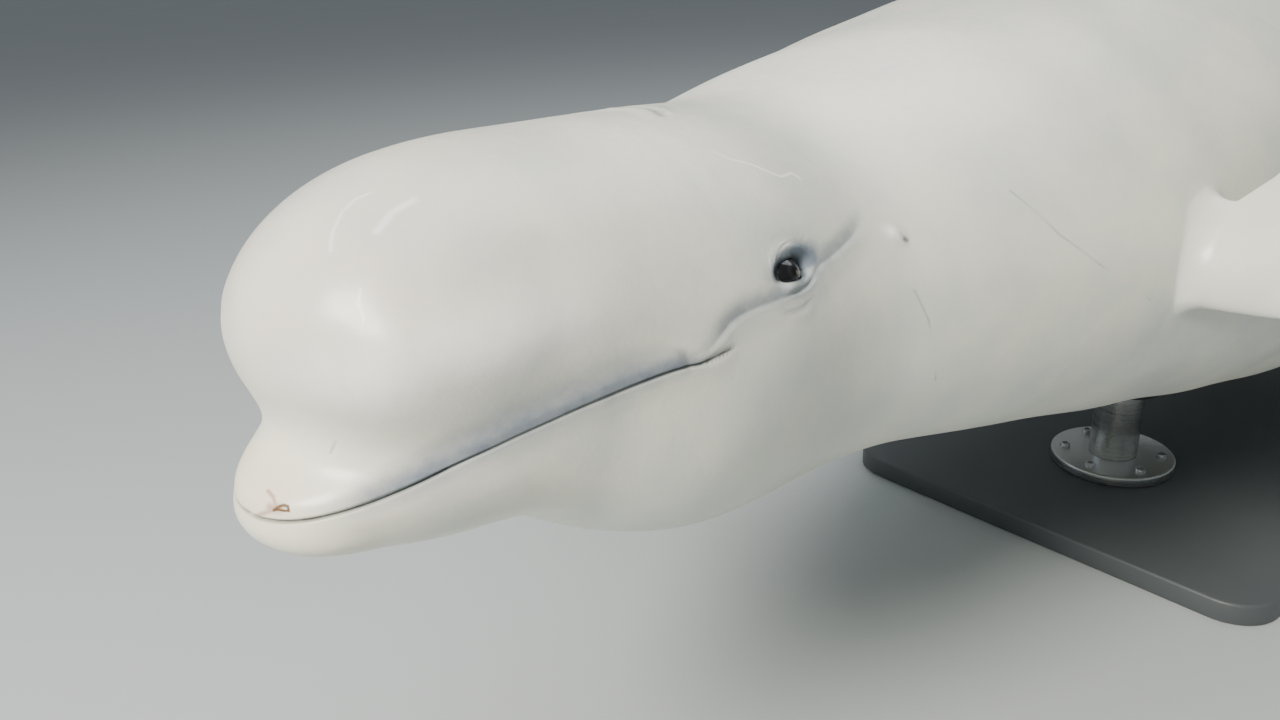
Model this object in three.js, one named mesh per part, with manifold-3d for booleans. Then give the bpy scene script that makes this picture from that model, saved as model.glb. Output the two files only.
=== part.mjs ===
// Adult beluga whale at life size, still, held clear of the ground by a flat base and two short rods.
// Millimetres, +Z up. The whale faces -Y and its left side is +X.
// The origin is under the middle of the base.
// The animal is modelled whole, as one closed surface, and then parted by thin cuts into its named parts.
// Inside the whale's own group, y is the distance behind the tip of the snout along the straight trunk.

import * as THREE from 'three';
import { mergeVertices } from 'three/addons/utils/BufferGeometryUtils.js';
import Module from 'manifold-3d';

// Length of the animal and the turn of its neck
const NOTCH = 3560;
const HEAD_TURN = THREE.MathUtils.degToRad(8.7);
const NECK_PIVOT = new THREE.Vector3(0, 440, 30);

// Trunk girths: distance behind the snout, height of the back, height of the belly, half width
const TRUNK_STATIONS = [
  [300, 170, -100, 155],
  [420, 180, -118, 188],
  [550, 205, -140, 225],
  [750, 240, -180, 270],
  [1050, 280, -245, 315],
  [1500, 300, -310, 335],
  [2000, 285, -290, 300],
  [2500, 225, -205, 210],
  [2950, 150, -105, 100],
  [3240, 96, -42, 46],
  [3400, 64, 0, 36],
  [3500, 47, 17, 28],
  [NOTCH, 39, 25, 18],
];
const TRUNK_START = 300;
const TRUNK_START_SOFTNESS = 50;
const LOWEST_BELLY = -310;
const TRUNK_SQUARENESS = 2.15;
const WIDEST_LEVEL = 0.47;

// Masses of the head: centre, half sizes (x across, y along, z up) and how softly each joins the rest
const CRANIUM = { centre: [0, 318, 48], half: [168, 186, 134], soft: 60 };
const THROAT = { centre: [0, 363, -36], half: [145, 198, 66], soft: 60 };
const CHEEK = { centre: [70, 282, 10], half: [84, 119, 80], soft: 50 };
const BEAK = { centre: [0, 149, 14], half: [99, 153, 44], soft: 30 };
const JAW = { centre: [0, 178, -2], half: [99, 163, 40], soft: 20 };
const LIPS = { centre: [0, 38, 0], half: [56, 46, 24], soft: 12 };

// The melon joins sharply at the brow and softly over the crown
const MELON = {
  centre: [0, 162, 100], half: [129, 151, 99],
  browSoft: 35, crownSoft: 72, crownAt: 70, crownRun: 90,
};

// Low ridge in place of a dorsal fin
const RIDGE = { centre: [0, 2060, 262], half: [30, 340, 38], slope: -0.075 };

// Where the surface is sampled: rings that fan out from a core in the head, then cross the trunk
const CORE = new THREE.Vector3(0, 205, 55);
const CORE_DIP = THREE.MathUtils.degToRad(16);
const STRAIGHTEN_RUN = 600;
const TURN_AT = 300;
const TURN_RUN = 300;
const SIDES = 32;
const HEAD_RINGS = 19;
const RING_RUNS = [
  { to: 712, rings: 9 },
  { to: 808, rings: 5 },
  { to: 3240, rings: 13 },
  { to: 3520, rings: 5 },
  { to: 3548, rings: 1 },
];
const REACH = 900;
const REACH_STEPS = 24;

// Flippers: broad paddles held out to the side, leading edge low and trailing edge high
const FLIPPER = {
  from: 712,
  to: 808,
  spread: 1,
  first: 0.085,
  root: [252, 760, 33],
  span: 425,
  rootChord: 78,
  fullChord: 238,
  fullAt: 0.42,
  tipPower: 3.2,
  tipRake: 0.12,
  rootThickness: 52,
  tipThickness: 9,
  sweep: 105,
  rings: 7,
  box: { inner: 320, rear: [560, 1085], up: [-500, 600] },
};
const FLIPPER_POSE = {
  left: {
    rootTilt: THREE.MathUtils.degToRad(75), tipTilt: THREE.MathUtils.degToRad(58), drop: 0, curl: 45,
  },
  right: {
    rootTilt: THREE.MathUtils.degToRad(30), tipTilt: THREE.MathUtils.degToRad(12), drop: 190, curl: 45,
  },
};

// Flukes: two level blades with bowed trailing edges that meet at a notch
const FLUKE = {
  from: 3240,
  to: 3520,
  spread: 3,
  first: 0.13,
  level: 31,
  span: 465,
  noseRoot: 3262,
  noseTip: 3540,
  nosePower: 0.9,
  tailRoot: 3556,
  tailBow: 92,
  tailPower: 0.8,
  leastChord: 8,
  rootThickness: 38,
  tipThickness: 7,
  thinning: 0.7,
  droop: 22,
  rings: 7,
  box: { inner: 68, rear: [3230, 3900], up: [-300, 300] },
};

// Blade sections: how much fuller the nose is than the tail
const NOSE_FULLNESS = 0.42;
const NOSE_ROUNDING = 0.12;

// Fillets where the limbs leave the body
const FILLET_RINGS = 3;
const FILLET_HANDLE = 0.5;
const NEXT_SHARE = 0.03;

// Lines between the parts, and the width of each cut
const CUT = 0.35;
const MOUTH_LINE = [[-90, 6], [-9, 11], [43, 24], [91, 39], [142, 58], [186, 65], [246, 68]];
const JAW_HINGE = [[252, 20], [292, -160]];
const BEAK_LINE = [[-90, 40], [28, 57], [140, 84], [246, 104]];
const MELON_REAR = [[296, 240], [296, 320]];
const MELON_CORNER = [-90, 320];
const JAW_CORNER = [-90, -160];
const HEAD_REAR = 452;
const HEAD_HALF_WIDTH = 300;
const HEAD_LENGTH = 900;
const TRUNK_CUTS = { neck: 672, front: 1310, middle: 1900, rear: 2555, tail: 3760 };
const BLOWHOLE = { y: 352, radius: 26, depth: 16, sides: 20, from: 60, height: 200 };

// Eyes: where the ball meets the skin, and the ball
const EYE = {
  y: 314, inside: 83, rise: 0.12, radius: 14, proud: 1.2, socketGap: 0.35, sides: 12, bands: 8,
};

// Stand
const BASE = { length: 1500, width: 620, thickness: 30, corner: 60 };
const CLEARANCE = 150;
const ROD = { radius: 34, front: 1280, rear: 2280, sides: 16 };
const FOOT = { radius: 88, height: 16 };
const COLLAR = { radius: 58, height: 46 };
const INTO_BELLY = 40;
const BORE_SPARE = 50;
const LIFT = BASE.thickness + CLEARANCE - LOWEST_BELLY;
const BASE_MIDDLE = 1780;

const wasm = await Module();
wasm.setup();

// Curves and distances

const clamp01 = (value) => Math.min(1, Math.max(0, value));
const smooth = (value) => clamp01(value) ** 2 * (3 - 2 * clamp01(value));
const mix = (from, to, amount) => from + (to - from) * amount;

// Smooth curve through the values that the stations hold in one column
function stationCurve(stations, column) {
  const at = stations.map((row) => row[0]);
  const value = stations.map((row) => row[column]);
  const gap = at.slice(1).map((y, i) => y - at[i]);
  const rise = gap.map((g, i) => (value[i + 1] - value[i]) / g);
  const slope = value.map((_, i) => {
    if (i === 0) return rise[0];
    if (i === value.length - 1) return rise[i - 1];
    return (rise[i - 1] * gap[i] + rise[i] * gap[i - 1]) / (gap[i] + gap[i - 1]);
  });
  return (y) => {
    const held = Math.min(Math.max(y, at[0]), at[at.length - 1]);
    let i = 0;
    while (i < gap.length - 1 && held > at[i + 1]) i += 1;
    const t = (held - at[i]) / gap[i];
    const start = (1 + 2 * t) * (1 - t) ** 2 * value[i] + t * (1 - t) ** 2 * gap[i] * slope[i];
    const end = t * t * (3 - 2 * t) * value[i + 1] + t * t * (t - 1) * gap[i] * slope[i + 1];
    return start + end;
  };
}

const backLine = stationCurve(TRUNK_STATIONS, 1);
const bellyLine = stationCurve(TRUNK_STATIONS, 2);
const halfWidth = stationCurve(TRUNK_STATIONS, 3);
const widestLine = (y) => mix(bellyLine(y), backLine(y), WIDEST_LEVEL);

// Joins two distances with a rounded valley between the shapes
function blend(a, b, soft) {
  const share = clamp01(0.5 + (0.5 * (b - a)) / soft);
  return mix(b, a, share) - soft * share * (1 - share);
}

function massDistance(p, mass) {
  const [rx, ry, rz] = mass.half;
  const dx = p.x - mass.centre[0];
  const dy = p.y - mass.centre[1];
  const dz = p.z - mass.centre[2];
  const near = Math.hypot(dx / rx, dy / ry, dz / rz) + 1e-9;
  const steep = Math.hypot(dx / rx ** 2, dy / ry ** 2, dz / rz ** 2) + 1e-9;
  return (near * (near - 1)) / steep;
}

function trunkDistance(p) {
  const width = halfWidth(p.y);
  const level = widestLine(p.y);
  const height = p.z > level ? backLine(p.y) - level : level - bellyLine(p.y);
  const out = Math.abs(p.x / width) ** TRUNK_SQUARENESS;
  const up = Math.abs((p.z - level) / height) ** TRUNK_SQUARENESS;
  const fill = (out + up) ** (1 / TRUNK_SQUARENESS);
  const reach = Math.hypot(p.x, p.z - level);
  const round = fill < 1e-3 ? -Math.min(width, height) : reach * (1 - 1 / fill);
  return -blend(-round, p.y - TRUNK_START, TRUNK_START_SOFTNESS);
}

// From the straight trunk to the turned head and back: both turn about the neck's upright axis
const headToTrunk = new THREE.Matrix4()
  .makeTranslation(NECK_PIVOT.x, NECK_PIVOT.y, NECK_PIVOT.z)
  .multiply(new THREE.Matrix4().makeRotationZ(HEAD_TURN))
  .multiply(new THREE.Matrix4().makeTranslation(-NECK_PIVOT.x, -NECK_PIVOT.y, -NECK_PIVOT.z));

// Distance of a point in the head's own frame from the whale's skin, limbs left out
function fleshDistance(p) {
  const mirrored = new THREE.Vector3(Math.abs(p.x), p.y, p.z);
  let d = trunkDistance(p.clone().applyMatrix4(headToTrunk));
  d = blend(d, massDistance(p, CRANIUM), CRANIUM.soft);
  d = blend(d, massDistance(p, THROAT), THROAT.soft);
  d = blend(d, massDistance(mirrored, CHEEK), CHEEK.soft);
  let muzzle = blend(massDistance(p, BEAK), massDistance(p, JAW), JAW.soft);
  muzzle = blend(muzzle, massDistance(p, LIPS), LIPS.soft);
  d = blend(d, muzzle, BEAK.soft);
  const crown = smooth((p.y - MELON.crownAt) / MELON.crownRun);
  return blend(d, massDistance(p, MELON), mix(MELON.browSoft, MELON.crownSoft, crown));
}

// Point where a ray from inside the body leaves the skin
function castOut(from, direction) {
  let near = 0;
  let far = REACH;
  for (let step = 0; step < REACH_STEPS; step += 1) {
    const middle = (near + far) / 2;
    if (fleshDistance(from.clone().addScaledVector(direction, middle)) < 0) near = middle;
    else far = middle;
  }
  return from.clone().addScaledVector(direction, near);
}

// Rings of the body

function ringAxes(spot) {
  const dip = CORE_DIP * (1 - spot.straight);
  const turn = new THREE.Matrix4().makeRotationZ(-HEAD_TURN * spot.follow);
  const left = new THREE.Vector3(1, 0, 0).applyMatrix4(turn);
  const up = new THREE.Vector3(0, -Math.sin(dip), Math.cos(dip)).applyMatrix4(turn);
  const ahead = new THREE.Vector3(0, -Math.cos(dip), -Math.sin(dip)).applyMatrix4(turn);
  return { left, up, ahead };
}

// Places of the rings: a fan of cones about the core, then rings along the trunk
function ringSpots() {
  const spots = [];
  for (let i = 1; i <= HEAD_RINGS; i += 1) {
    const open = (Math.PI / 2) * (i / HEAD_RINGS);
    spots.push({ from: CORE.clone(), open, straight: 0, follow: 0, y: CORE.y });
  }
  let start = CORE.y;
  for (const run of RING_RUNS) {
    for (let i = 1; i <= run.rings; i += 1) {
      const y = mix(start, run.to, i / run.rings);
      const straight = smooth((y - CORE.y) / STRAIGHTEN_RUN);
      const follow = smooth((y - TURN_AT) / TURN_RUN);
      const from = new THREE.Vector3(0, y, mix(CORE.z, widestLine(y), straight));
      from.sub(NECK_PIVOT).applyAxisAngle(new THREE.Vector3(0, 0, 1), -HEAD_TURN * follow).add(NECK_PIVOT);
      spots.push({ from, open: Math.PI / 2, straight, follow, y });
    }
    start = run.to;
  }
  return spots;
}

function bodyRing(spot) {
  const { left, up, ahead } = ringAxes(spot);
  const ring = [];
  for (let j = 0; j < SIDES; j += 1) {
    const angle = -Math.PI / 2 + (2 * Math.PI * j) / SIDES;
    const direction = ahead.clone().multiplyScalar(Math.cos(spot.open));
    direction.addScaledVector(left, Math.sin(spot.open) * Math.cos(angle));
    direction.addScaledVector(up, Math.sin(spot.open) * Math.sin(angle));
    ring.push(castOut(spot.from, direction).applyMatrix4(headToTrunk));
  }
  return ring;
}

// Limbs

// Flipper blade in the trunk's frame at a share of its span, for the left or the right side
function flipperSection(u, side) {
  const pose = side > 0 ? FLIPPER_POSE.left : FLIPPER_POSE.right;
  const tilt = mix(pose.rootTilt, pose.tipTilt, u);
  const along = new THREE.Vector3(0, Math.cos(tilt), Math.sin(tilt));
  const through = new THREE.Vector3(0, -Math.sin(tilt), Math.cos(tilt));
  const widen = mix(FLIPPER.rootChord, FLIPPER.fullChord, smooth(u / FLIPPER.fullAt));
  const tipShare = clamp01((u - FLIPPER.fullAt) / (1 - FLIPPER.fullAt));
  const chord = widen * Math.sqrt(Math.max(0, 1 - tipShare ** FLIPPER.tipPower));
  const lead = -FLIPPER.rootChord / 2 + FLIPPER.sweep * u ** 2;
  const middle = lead + widen / 2 - FLIPPER.tipRake * widen * tipShare ** 2;
  const centre = new THREE.Vector3(...FLIPPER.root);
  centre.x += FLIPPER.span * u;
  centre.z += pose.curl * u ** 3 - pose.drop * u;
  centre.addScaledVector(along, middle);
  for (const v of [centre, along, through]) v.x *= side;
  const thickness = mix(FLIPPER.rootThickness, FLIPPER.tipThickness, Math.sqrt(u));
  return { centre, along, through, chord, thickness };
}

function flukeSection(u, side) {
  const nose = mix(FLUKE.noseRoot, FLUKE.noseTip, (1 - Math.cos((u * Math.PI) / 2)) ** FLUKE.nosePower);
  const tail = FLUKE.tailRoot + FLUKE.tailBow * Math.sin(Math.PI * u ** FLUKE.tailPower);
  const level = FLUKE.level - FLUKE.droop * u * u;
  const centre = new THREE.Vector3(side * FLUKE.span * u, (nose + tail) / 2, level);
  const along = new THREE.Vector3(0, 1, 0);
  const through = new THREE.Vector3(0, 0, 1);
  const thickness = mix(FLUKE.rootThickness, FLUKE.tipThickness, u ** FLUKE.thinning);
  return { centre, along, through, chord: Math.max(FLUKE.leastChord, tail - nose), thickness };
}

// Outline of a blade section: rounded nose, thin tail
function sectionPoint(section, angle) {
  const swell = 1 - NOSE_FULLNESS * Math.cos(angle) - NOSE_ROUNDING * Math.cos(angle) ** 2;
  return section.centre
    .clone()
    .addScaledVector(section.along, (section.chord / 2) * Math.cos(angle))
    .addScaledVector(section.through, (section.thickness / 2) * Math.sin(angle) * swell);
}

// Edge of a rectangular opening in the grid, in the order of the faces that were there,
// with the neighbour of each point on the surface outside
function openingLoop(opening) {
  const { i0, i1, j0, j1 } = opening;
  const loop = [];
  for (let i = i0; i < i1; i += 1) loop.push({ i, j: j0, di: i === i0 ? -1 : 0, dj: -1 });
  for (let j = j0; j < j1; j += 1) loop.push({ i: i1, j, di: 1, dj: j === j0 ? -1 : 0 });
  for (let i = i1; i > i0; i -= 1) loop.push({ i, j: j1, di: i === i1 ? 1 : 0, dj: 1 });
  for (let j = j1; j > j0; j -= 1) loop.push({ i: i0, j, di: -1, dj: j === j1 ? 1 : 0 });
  return loop;
}

// Rings of a limb from the edge of its opening to its tip, with a fillet where it leaves the body
function limbRings(rim, rimPull, sectionAt, firstShare, rings) {
  const root = sectionAt(firstShare);
  const chordwise = rim.map((p) => p.clone().sub(root.centre).dot(root.along));
  const tailIndex = chordwise.indexOf(Math.max(...chordwise));
  const noseIndex = chordwise.indexOf(Math.min(...chordwise));
  const count = rim.length;
  const firstRun = (noseIndex - tailIndex + count) % count;
  const angle = [];
  let lean = 0;
  for (let k = 0; k < count; k += 1) {
    const n = (tailIndex + k) % count;
    const inFirst = k <= firstRun;
    angle[n] = inFirst ? (Math.PI * k) / firstRun : Math.PI * (1 + (k - firstRun) / (count - firstRun));
    lean += (inFirst ? 1 : -1) * rim[n].clone().sub(root.centre).dot(root.through);
  }
  const sign = lean > 0 ? 1 : -1;
  const ringAt = (u) => rim.map((_, n) => sectionPoint(sectionAt(u), sign * angle[n]));
  const first = ringAt(firstShare);
  const next = ringAt(firstShare + NEXT_SHARE);
  const out = [];
  for (let f = 1; f < FILLET_RINGS; f += 1) {
    const t = f / FILLET_RINGS;
    out.push(rim.map((p, n) => {
      const stretch = FILLET_HANDLE * p.distanceTo(first[n]);
      const leave = next[n].clone().sub(first[n]).normalize().multiplyScalar(stretch);
      const point = p.clone().multiplyScalar((1 + 2 * t) * (1 - t) ** 2);
      point.addScaledVector(rimPull[n], t * (1 - t) ** 2 * stretch);
      point.addScaledVector(first[n], t * t * (3 - 2 * t));
      return point.addScaledVector(leave, t * t * (t - 1));
    }));
  }
  out.push(first);
  for (let k = 1; k < rings; k += 1) {
    const share = Math.sin((Math.PI / 2) * (k / rings));
    out.push(ringAt(mix(firstShare, 1, share)));
  }
  return { rings: out, tip: sectionAt(1).centre };
}

// Whole whale as one closed mesh
function whaleGeometry() {
  const spots = ringSpots();
  const grid = spots.map(bodyRing);
  const positions = [];
  const faces = [];
  const addPoint = (p) => positions.push(p.x, p.y, p.z) / 3 - 1;
  const index = grid.map((ring) => ring.map(addPoint));
  const wrap = (j) => (j + SIDES) % SIDES;
  const nearest = (y) => spots.findIndex((spot) => spot.y >= y - 1 && spot.open === Math.PI / 2);
  const quarter = SIDES / 4;
  const limbs = [1, -1].flatMap((side) => {
    const middle = side > 0 ? quarter : 3 * quarter;
    return [
      { shape: FLIPPER, section: (u) => flipperSection(u, side), middle },
      { shape: FLUKE, section: (u) => flukeSection(u, side), middle },
    ];
  });
  for (const limb of limbs) {
    limb.opening = {
      i0: nearest(limb.shape.from),
      i1: nearest(limb.shape.to),
      j0: limb.middle - limb.shape.spread,
      j1: limb.middle + limb.shape.spread,
    };
  }
  const inOpening = (i, j) => limbs.some(({ opening }) =>
    i >= opening.i0 && i < opening.i1 && j >= opening.j0 && j < opening.j1);

  const snout = addPoint(castOut(CORE, ringAxes(spots[0]).ahead).applyMatrix4(headToTrunk));
  const tailEnd = addPoint(new THREE.Vector3(0, NOTCH, widestLine(NOTCH)));
  const last = grid.length - 1;
  for (let j = 0; j < SIDES; j += 1) {
    faces.push([snout, index[0][j], index[0][wrap(j + 1)]]);
    faces.push([index[last][j], tailEnd, index[last][wrap(j + 1)]]);
    for (let i = 0; i < last; i += 1) {
      if (inOpening(i, j)) continue;
      const corner = [index[i][j], index[i + 1][j], index[i + 1][wrap(j + 1)], index[i][wrap(j + 1)]];
      faces.push([corner[0], corner[1], corner[2]], [corner[0], corner[2], corner[3]]);
    }
  }

  for (const limb of limbs) {
    const loop = openingLoop(limb.opening);
    const rim = loop.map(({ i, j }) => grid[i][wrap(j)]);
    const pull = loop.map(({ i, j, di, dj }, n) => {
      const neighbour = grid[i + di][wrap(j + dj)];
      return rim[n].clone().sub(neighbour).normalize();
    });
    const { rings, tip } = limbRings(rim, pull, limb.section, limb.shape.first, limb.shape.rings);
    let before = loop.map(({ i, j }) => index[i][wrap(j)]);
    for (const ring of rings) {
      const here = ring.map(addPoint);
      here.forEach((point, n) => {
        const m = (n + 1) % here.length;
        faces.push([before[n], before[m], here[m]], [before[n], here[m], point]);
      });
      before = here;
    }
    const end = addPoint(tip);
    before.forEach((point, n) => faces.push([point, before[(n + 1) % before.length], end]));
  }

  const geometry = new THREE.BufferGeometry();
  geometry.setAttribute('position', new THREE.Float32BufferAttribute(positions, 3));
  geometry.setIndex(faces.flat());
  return geometry;
}

// Cutting

function solidOf(geometry) {
  const bare = geometry.clone();
  bare.deleteAttribute('normal');
  bare.deleteAttribute('uv');
  const merged = mergeVertices(bare, 1e-4);
  return new wasm.Manifold(new wasm.Mesh({
    numProp: 3,
    vertProperties: new Float32Array(merged.attributes.position.array),
    triVerts: new Uint32Array(merged.index.array),
  }));
}

function geometryOf(solid) {
  const mesh = solid.getMesh();
  const geometry = new THREE.BufferGeometry();
  geometry.setAttribute('position', new THREE.BufferAttribute(new Float32Array(mesh.vertProperties), 3));
  geometry.setIndex(new THREE.BufferAttribute(new Uint32Array(mesh.triVerts), 1));
  const flat = geometry.toNonIndexed();
  flat.computeVertexNormals();
  return flat;
}

// Box between two corners
function block(low, high) {
  const size = high.map((value, i) => value - low[i]);
  const geometry = new THREE.BoxGeometry(...size);
  geometry.translate(...low.map((value, i) => value + size[i] / 2));
  return solidOf(geometry);
}

// Prism across the head from an outline in its side view, turned with the head
function headPrism(outline) {
  const shape = new THREE.Shape(outline.map(([y, z]) => new THREE.Vector2(y, z)));
  const geometry = new THREE.ExtrudeGeometry(shape, { depth: 2 * HEAD_HALF_WIDTH, bevelEnabled: false });
  geometry.applyMatrix4(new THREE.Matrix4().makeBasis(
    new THREE.Vector3(0, 1, 0), new THREE.Vector3(0, 0, 1), new THREE.Vector3(1, 0, 0)));
  geometry.translate(-HEAD_HALF_WIDTH, 0, 0);
  geometry.applyMatrix4(headToTrunk);
  return solidOf(geometry);
}

const shifted = (line, dy, dz) => line.map(([y, z]) => [y + dy, z + dz]);

const group = new THREE.Group();
const whale = new THREE.Group();
whale.position.set(0, -BASE_MIDDLE, LIFT);
group.add(whale);

function addMesh(parent, name, solid, material) {
  const mesh = new THREE.Mesh(geometryOf(solid), material);
  mesh.name = name;
  parent.add(mesh);
}

const skin = (color) => new THREE.MeshStandardMaterial({ color, roughness: 0.42, metalness: 0 });

// Whale

const wholeWhale = solidOf(whaleGeometry());
const FAR = 1200;
const rest = { solid: wholeWhale };

// Takes the part of what is left that lies in a region, and leaves a thin gap round it
function part(region, grown) {
  const piece = rest.solid.intersect(region);
  rest.solid = rest.solid.subtract(grown);
  return piece;
}

const melonOutline = (gap) => [
  ...shifted(BEAK_LINE, 0, -gap),
  ...shifted(MELON_REAR, gap, 0),
  MELON_CORNER,
];
const beakOutline = (gap) => [
  ...shifted(MOUTH_LINE, 0, -gap),
  ...shifted([...BEAK_LINE].reverse(), gap, 0),
];
const jawOutline = (gap) => [
  JAW_CORNER,
  ...shifted([...JAW_HINGE].reverse(), gap, 0),
  ...shifted([...MOUTH_LINE].reverse(), gap, 0),
];

function eyeSpot(side) {
  const inside = new THREE.Vector3(0, EYE.y, EYE.inside);
  const surface = castOut(inside, new THREE.Vector3(side, 0, EYE.rise).normalize());
  const step = 1;
  const slope = (axis) => fleshDistance(surface.clone().addScaledVector(axis, step))
    - fleshDistance(surface.clone().addScaledVector(axis, -step));
  const out = new THREE.Vector3(
    slope(new THREE.Vector3(1, 0, 0)),
    slope(new THREE.Vector3(0, 1, 0)),
    slope(new THREE.Vector3(0, 0, 1)));
  out.normalize();
  return surface.addScaledVector(out, EYE.proud - EYE.radius).applyMatrix4(headToTrunk);
}

function ball(centre, radius) {
  const geometry = new THREE.SphereGeometry(radius, EYE.sides, EYE.bands);
  geometry.translate(centre.x, centre.y, centre.z);
  return solidOf(geometry);
}

for (const [side, label] of [[1, 'left'], [-1, 'right']]) {
  const centre = eyeSpot(side);
  rest.solid = rest.solid.subtract(ball(centre, EYE.radius + EYE.socketGap));
  const dark = new THREE.MeshStandardMaterial({ color: 0x1d1712, roughness: 0.12, metalness: 0 });
  addMesh(whale, `eye_${label}`, ball(centre, EYE.radius), dark);
}

addMesh(whale, 'melon', part(headPrism(melonOutline(0)), headPrism(melonOutline(CUT))), skin(0xdcdbd2));
addMesh(whale, 'upper_jaw', part(headPrism(beakOutline(0)), headPrism(beakOutline(CUT))), skin(0xd6d3c8));
addMesh(whale, 'lower_jaw', part(headPrism(jawOutline(0)), headPrism(jawOutline(CUT))), skin(0xc9cbc5));

function blowholePlug(radius, depth) {
  const top = castOut(new THREE.Vector3(0, BLOWHOLE.y, BLOWHOLE.from), new THREE.Vector3(0, 0, 1));
  const geometry = new THREE.CylinderGeometry(radius, radius, BLOWHOLE.height, BLOWHOLE.sides);
  geometry.rotateX(Math.PI / 2);
  geometry.translate(0, BLOWHOLE.y, top.z - depth + BLOWHOLE.height / 2);
  geometry.applyMatrix4(headToTrunk);
  return solidOf(geometry);
}
addMesh(whale, 'blowhole', part(blowholePlug(BLOWHOLE.radius, BLOWHOLE.depth),
  blowholePlug(BLOWHOLE.radius + CUT, BLOWHOLE.depth + CUT)), skin(0xcfcdc4));

const headBox = (gap) => {
  const geometry = new THREE.BoxGeometry(FAR, HEAD_LENGTH + gap, FAR);
  geometry.translate(0, HEAD_REAR - (HEAD_LENGTH - gap) / 2, 0);
  geometry.applyMatrix4(headToTrunk);
  return solidOf(geometry);
};
addMesh(whale, 'head', part(headBox(0), headBox(CUT)), skin(0xd8d7cd));

// Box round a limb on one side, from its plane of division outwards
function limbBox(shape, side, gap) {
  const { inner, rear, up } = shape.box;
  const edges = [side * (inner - gap), side * FAR].sort((a, b) => a - b);
  return block([edges[0], rear[0], up[0]], [edges[1], rear[1], up[1]]);
}

for (const [side, label] of [[1, 'left'], [-1, 'right']]) {
  const flipper = part(limbBox(FLIPPER, side, 0), limbBox(FLIPPER, side, CUT));
  addMesh(whale, `flipper_${label}`, flipper, skin(0xd3d9ce));
  const fluke = part(limbBox(FLUKE, side, 0), limbBox(FLUKE, side, CUT));
  addMesh(whale, `fluke_${label}`, fluke, skin(0xc9ccc6));
}

function ridgeSolid() {
  const geometry = new THREE.SphereGeometry(1, 16, 12);
  geometry.scale(...RIDGE.half);
  geometry.rotateX(Math.atan(RIDGE.slope));
  geometry.translate(...RIDGE.centre);
  return solidOf(geometry).subtract(wholeWhale.translate([0, 0, CUT]));
}
addMesh(whale, 'dorsal_ridge', ridgeSolid(), skin(0xcfd0c8));

const slab = (to) => block([-FAR, -FAR, -FAR], [FAR, to, FAR]);
const trunkParts = [
  ['neck', TRUNK_CUTS.neck, 0xd9d7cd],
  ['trunk_front', TRUNK_CUTS.front, 0xd6d5cc],
  ['trunk_middle', TRUNK_CUTS.middle, 0xd6d5cc],
  ['trunk_rear', TRUNK_CUTS.rear, 0xd6d5cc],
  ['tail_stock', TRUNK_CUTS.tail, 0xd3d3cb],
];
for (const [name, to, color] of trunkParts) {
  addMesh(whale, name, part(slab(to), slab(to + CUT)), skin(color));
}

// Stand

const steel = new THREE.MeshStandardMaterial({ color: 0x9aa0a4, roughness: 0.35, metalness: 1 });
const paint = new THREE.MeshStandardMaterial({ color: 0x3c4145, roughness: 0.5, metalness: 0 });

function baseGeometry() {
  const { length, width, thickness, corner } = BASE;
  const shape = new THREE.Shape();
  const x = width / 2 - corner;
  const y = length / 2 - corner;
  shape.absarc(x, y, corner, 0, Math.PI / 2);
  shape.absarc(-x, y, corner, Math.PI / 2, Math.PI);
  shape.absarc(-x, -y, corner, Math.PI, 1.5 * Math.PI);
  shape.absarc(x, -y, corner, 1.5 * Math.PI, 2 * Math.PI);
  return new THREE.ExtrudeGeometry(shape, { depth: thickness, bevelEnabled: false, curveSegments: 5 });
}
addMesh(group, 'stand_base', solidOf(baseGeometry()), paint);

const drum = (radius, height, y, bottom) => {
  const geometry = new THREE.CylinderGeometry(radius, radius, height, ROD.sides);
  geometry.rotateX(Math.PI / 2);
  geometry.translate(0, y, bottom + height / 2);
  return solidOf(geometry);
};
const baseTop = BASE.thickness - LIFT;
const loweredWhale = wholeWhale.translate([0, 0, -CUT]);
for (const [y, label] of [[ROD.front, 'front'], [ROD.rear, 'rear']]) {
  const belly = bellyLine(y);
  const tall = drum(ROD.radius, belly + INTO_BELLY - baseTop, y, baseTop + CUT);
  addMesh(whale, `stand_rod_${label}`, tall.subtract(loweredWhale), steel);
  const bore = drum(ROD.radius + CUT, belly - baseTop + 2 * BORE_SPARE, y, baseTop - BORE_SPARE);
  const foot = drum(FOOT.radius, FOOT.height, y, baseTop + CUT).subtract(bore);
  addMesh(whale, `stand_foot_${label}`, foot, steel);
  const collar = drum(COLLAR.radius, COLLAR.height + INTO_BELLY, y, belly - COLLAR.height);
  const ringed = collar.subtract(bore).subtract(loweredWhale);
  addMesh(whale, `stand_collar_${label}`, ringed, paint);
}

export default group;
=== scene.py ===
"""Life-size museum model of an adult beluga whale, held over the floor by a plain display stand.

The skin is one closed surface, lofted over the same masses as the whale's solids and then given its
mouth line, lids, creases, ear pits and blowhole. Lengths are in millimetres until a mesh is made.
The whale's own frame is x to its left, y behind the snout tip along the straight trunk, z up. The
head has a frame of its own, which the neck turns towards the left.
"""

import logging
import math
from collections.abc import Callable, Iterator
from contextlib import contextmanager
from dataclasses import dataclass, field
from enum import Enum

import bpy
import numpy as np
from mathutils import Matrix, Vector

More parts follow.
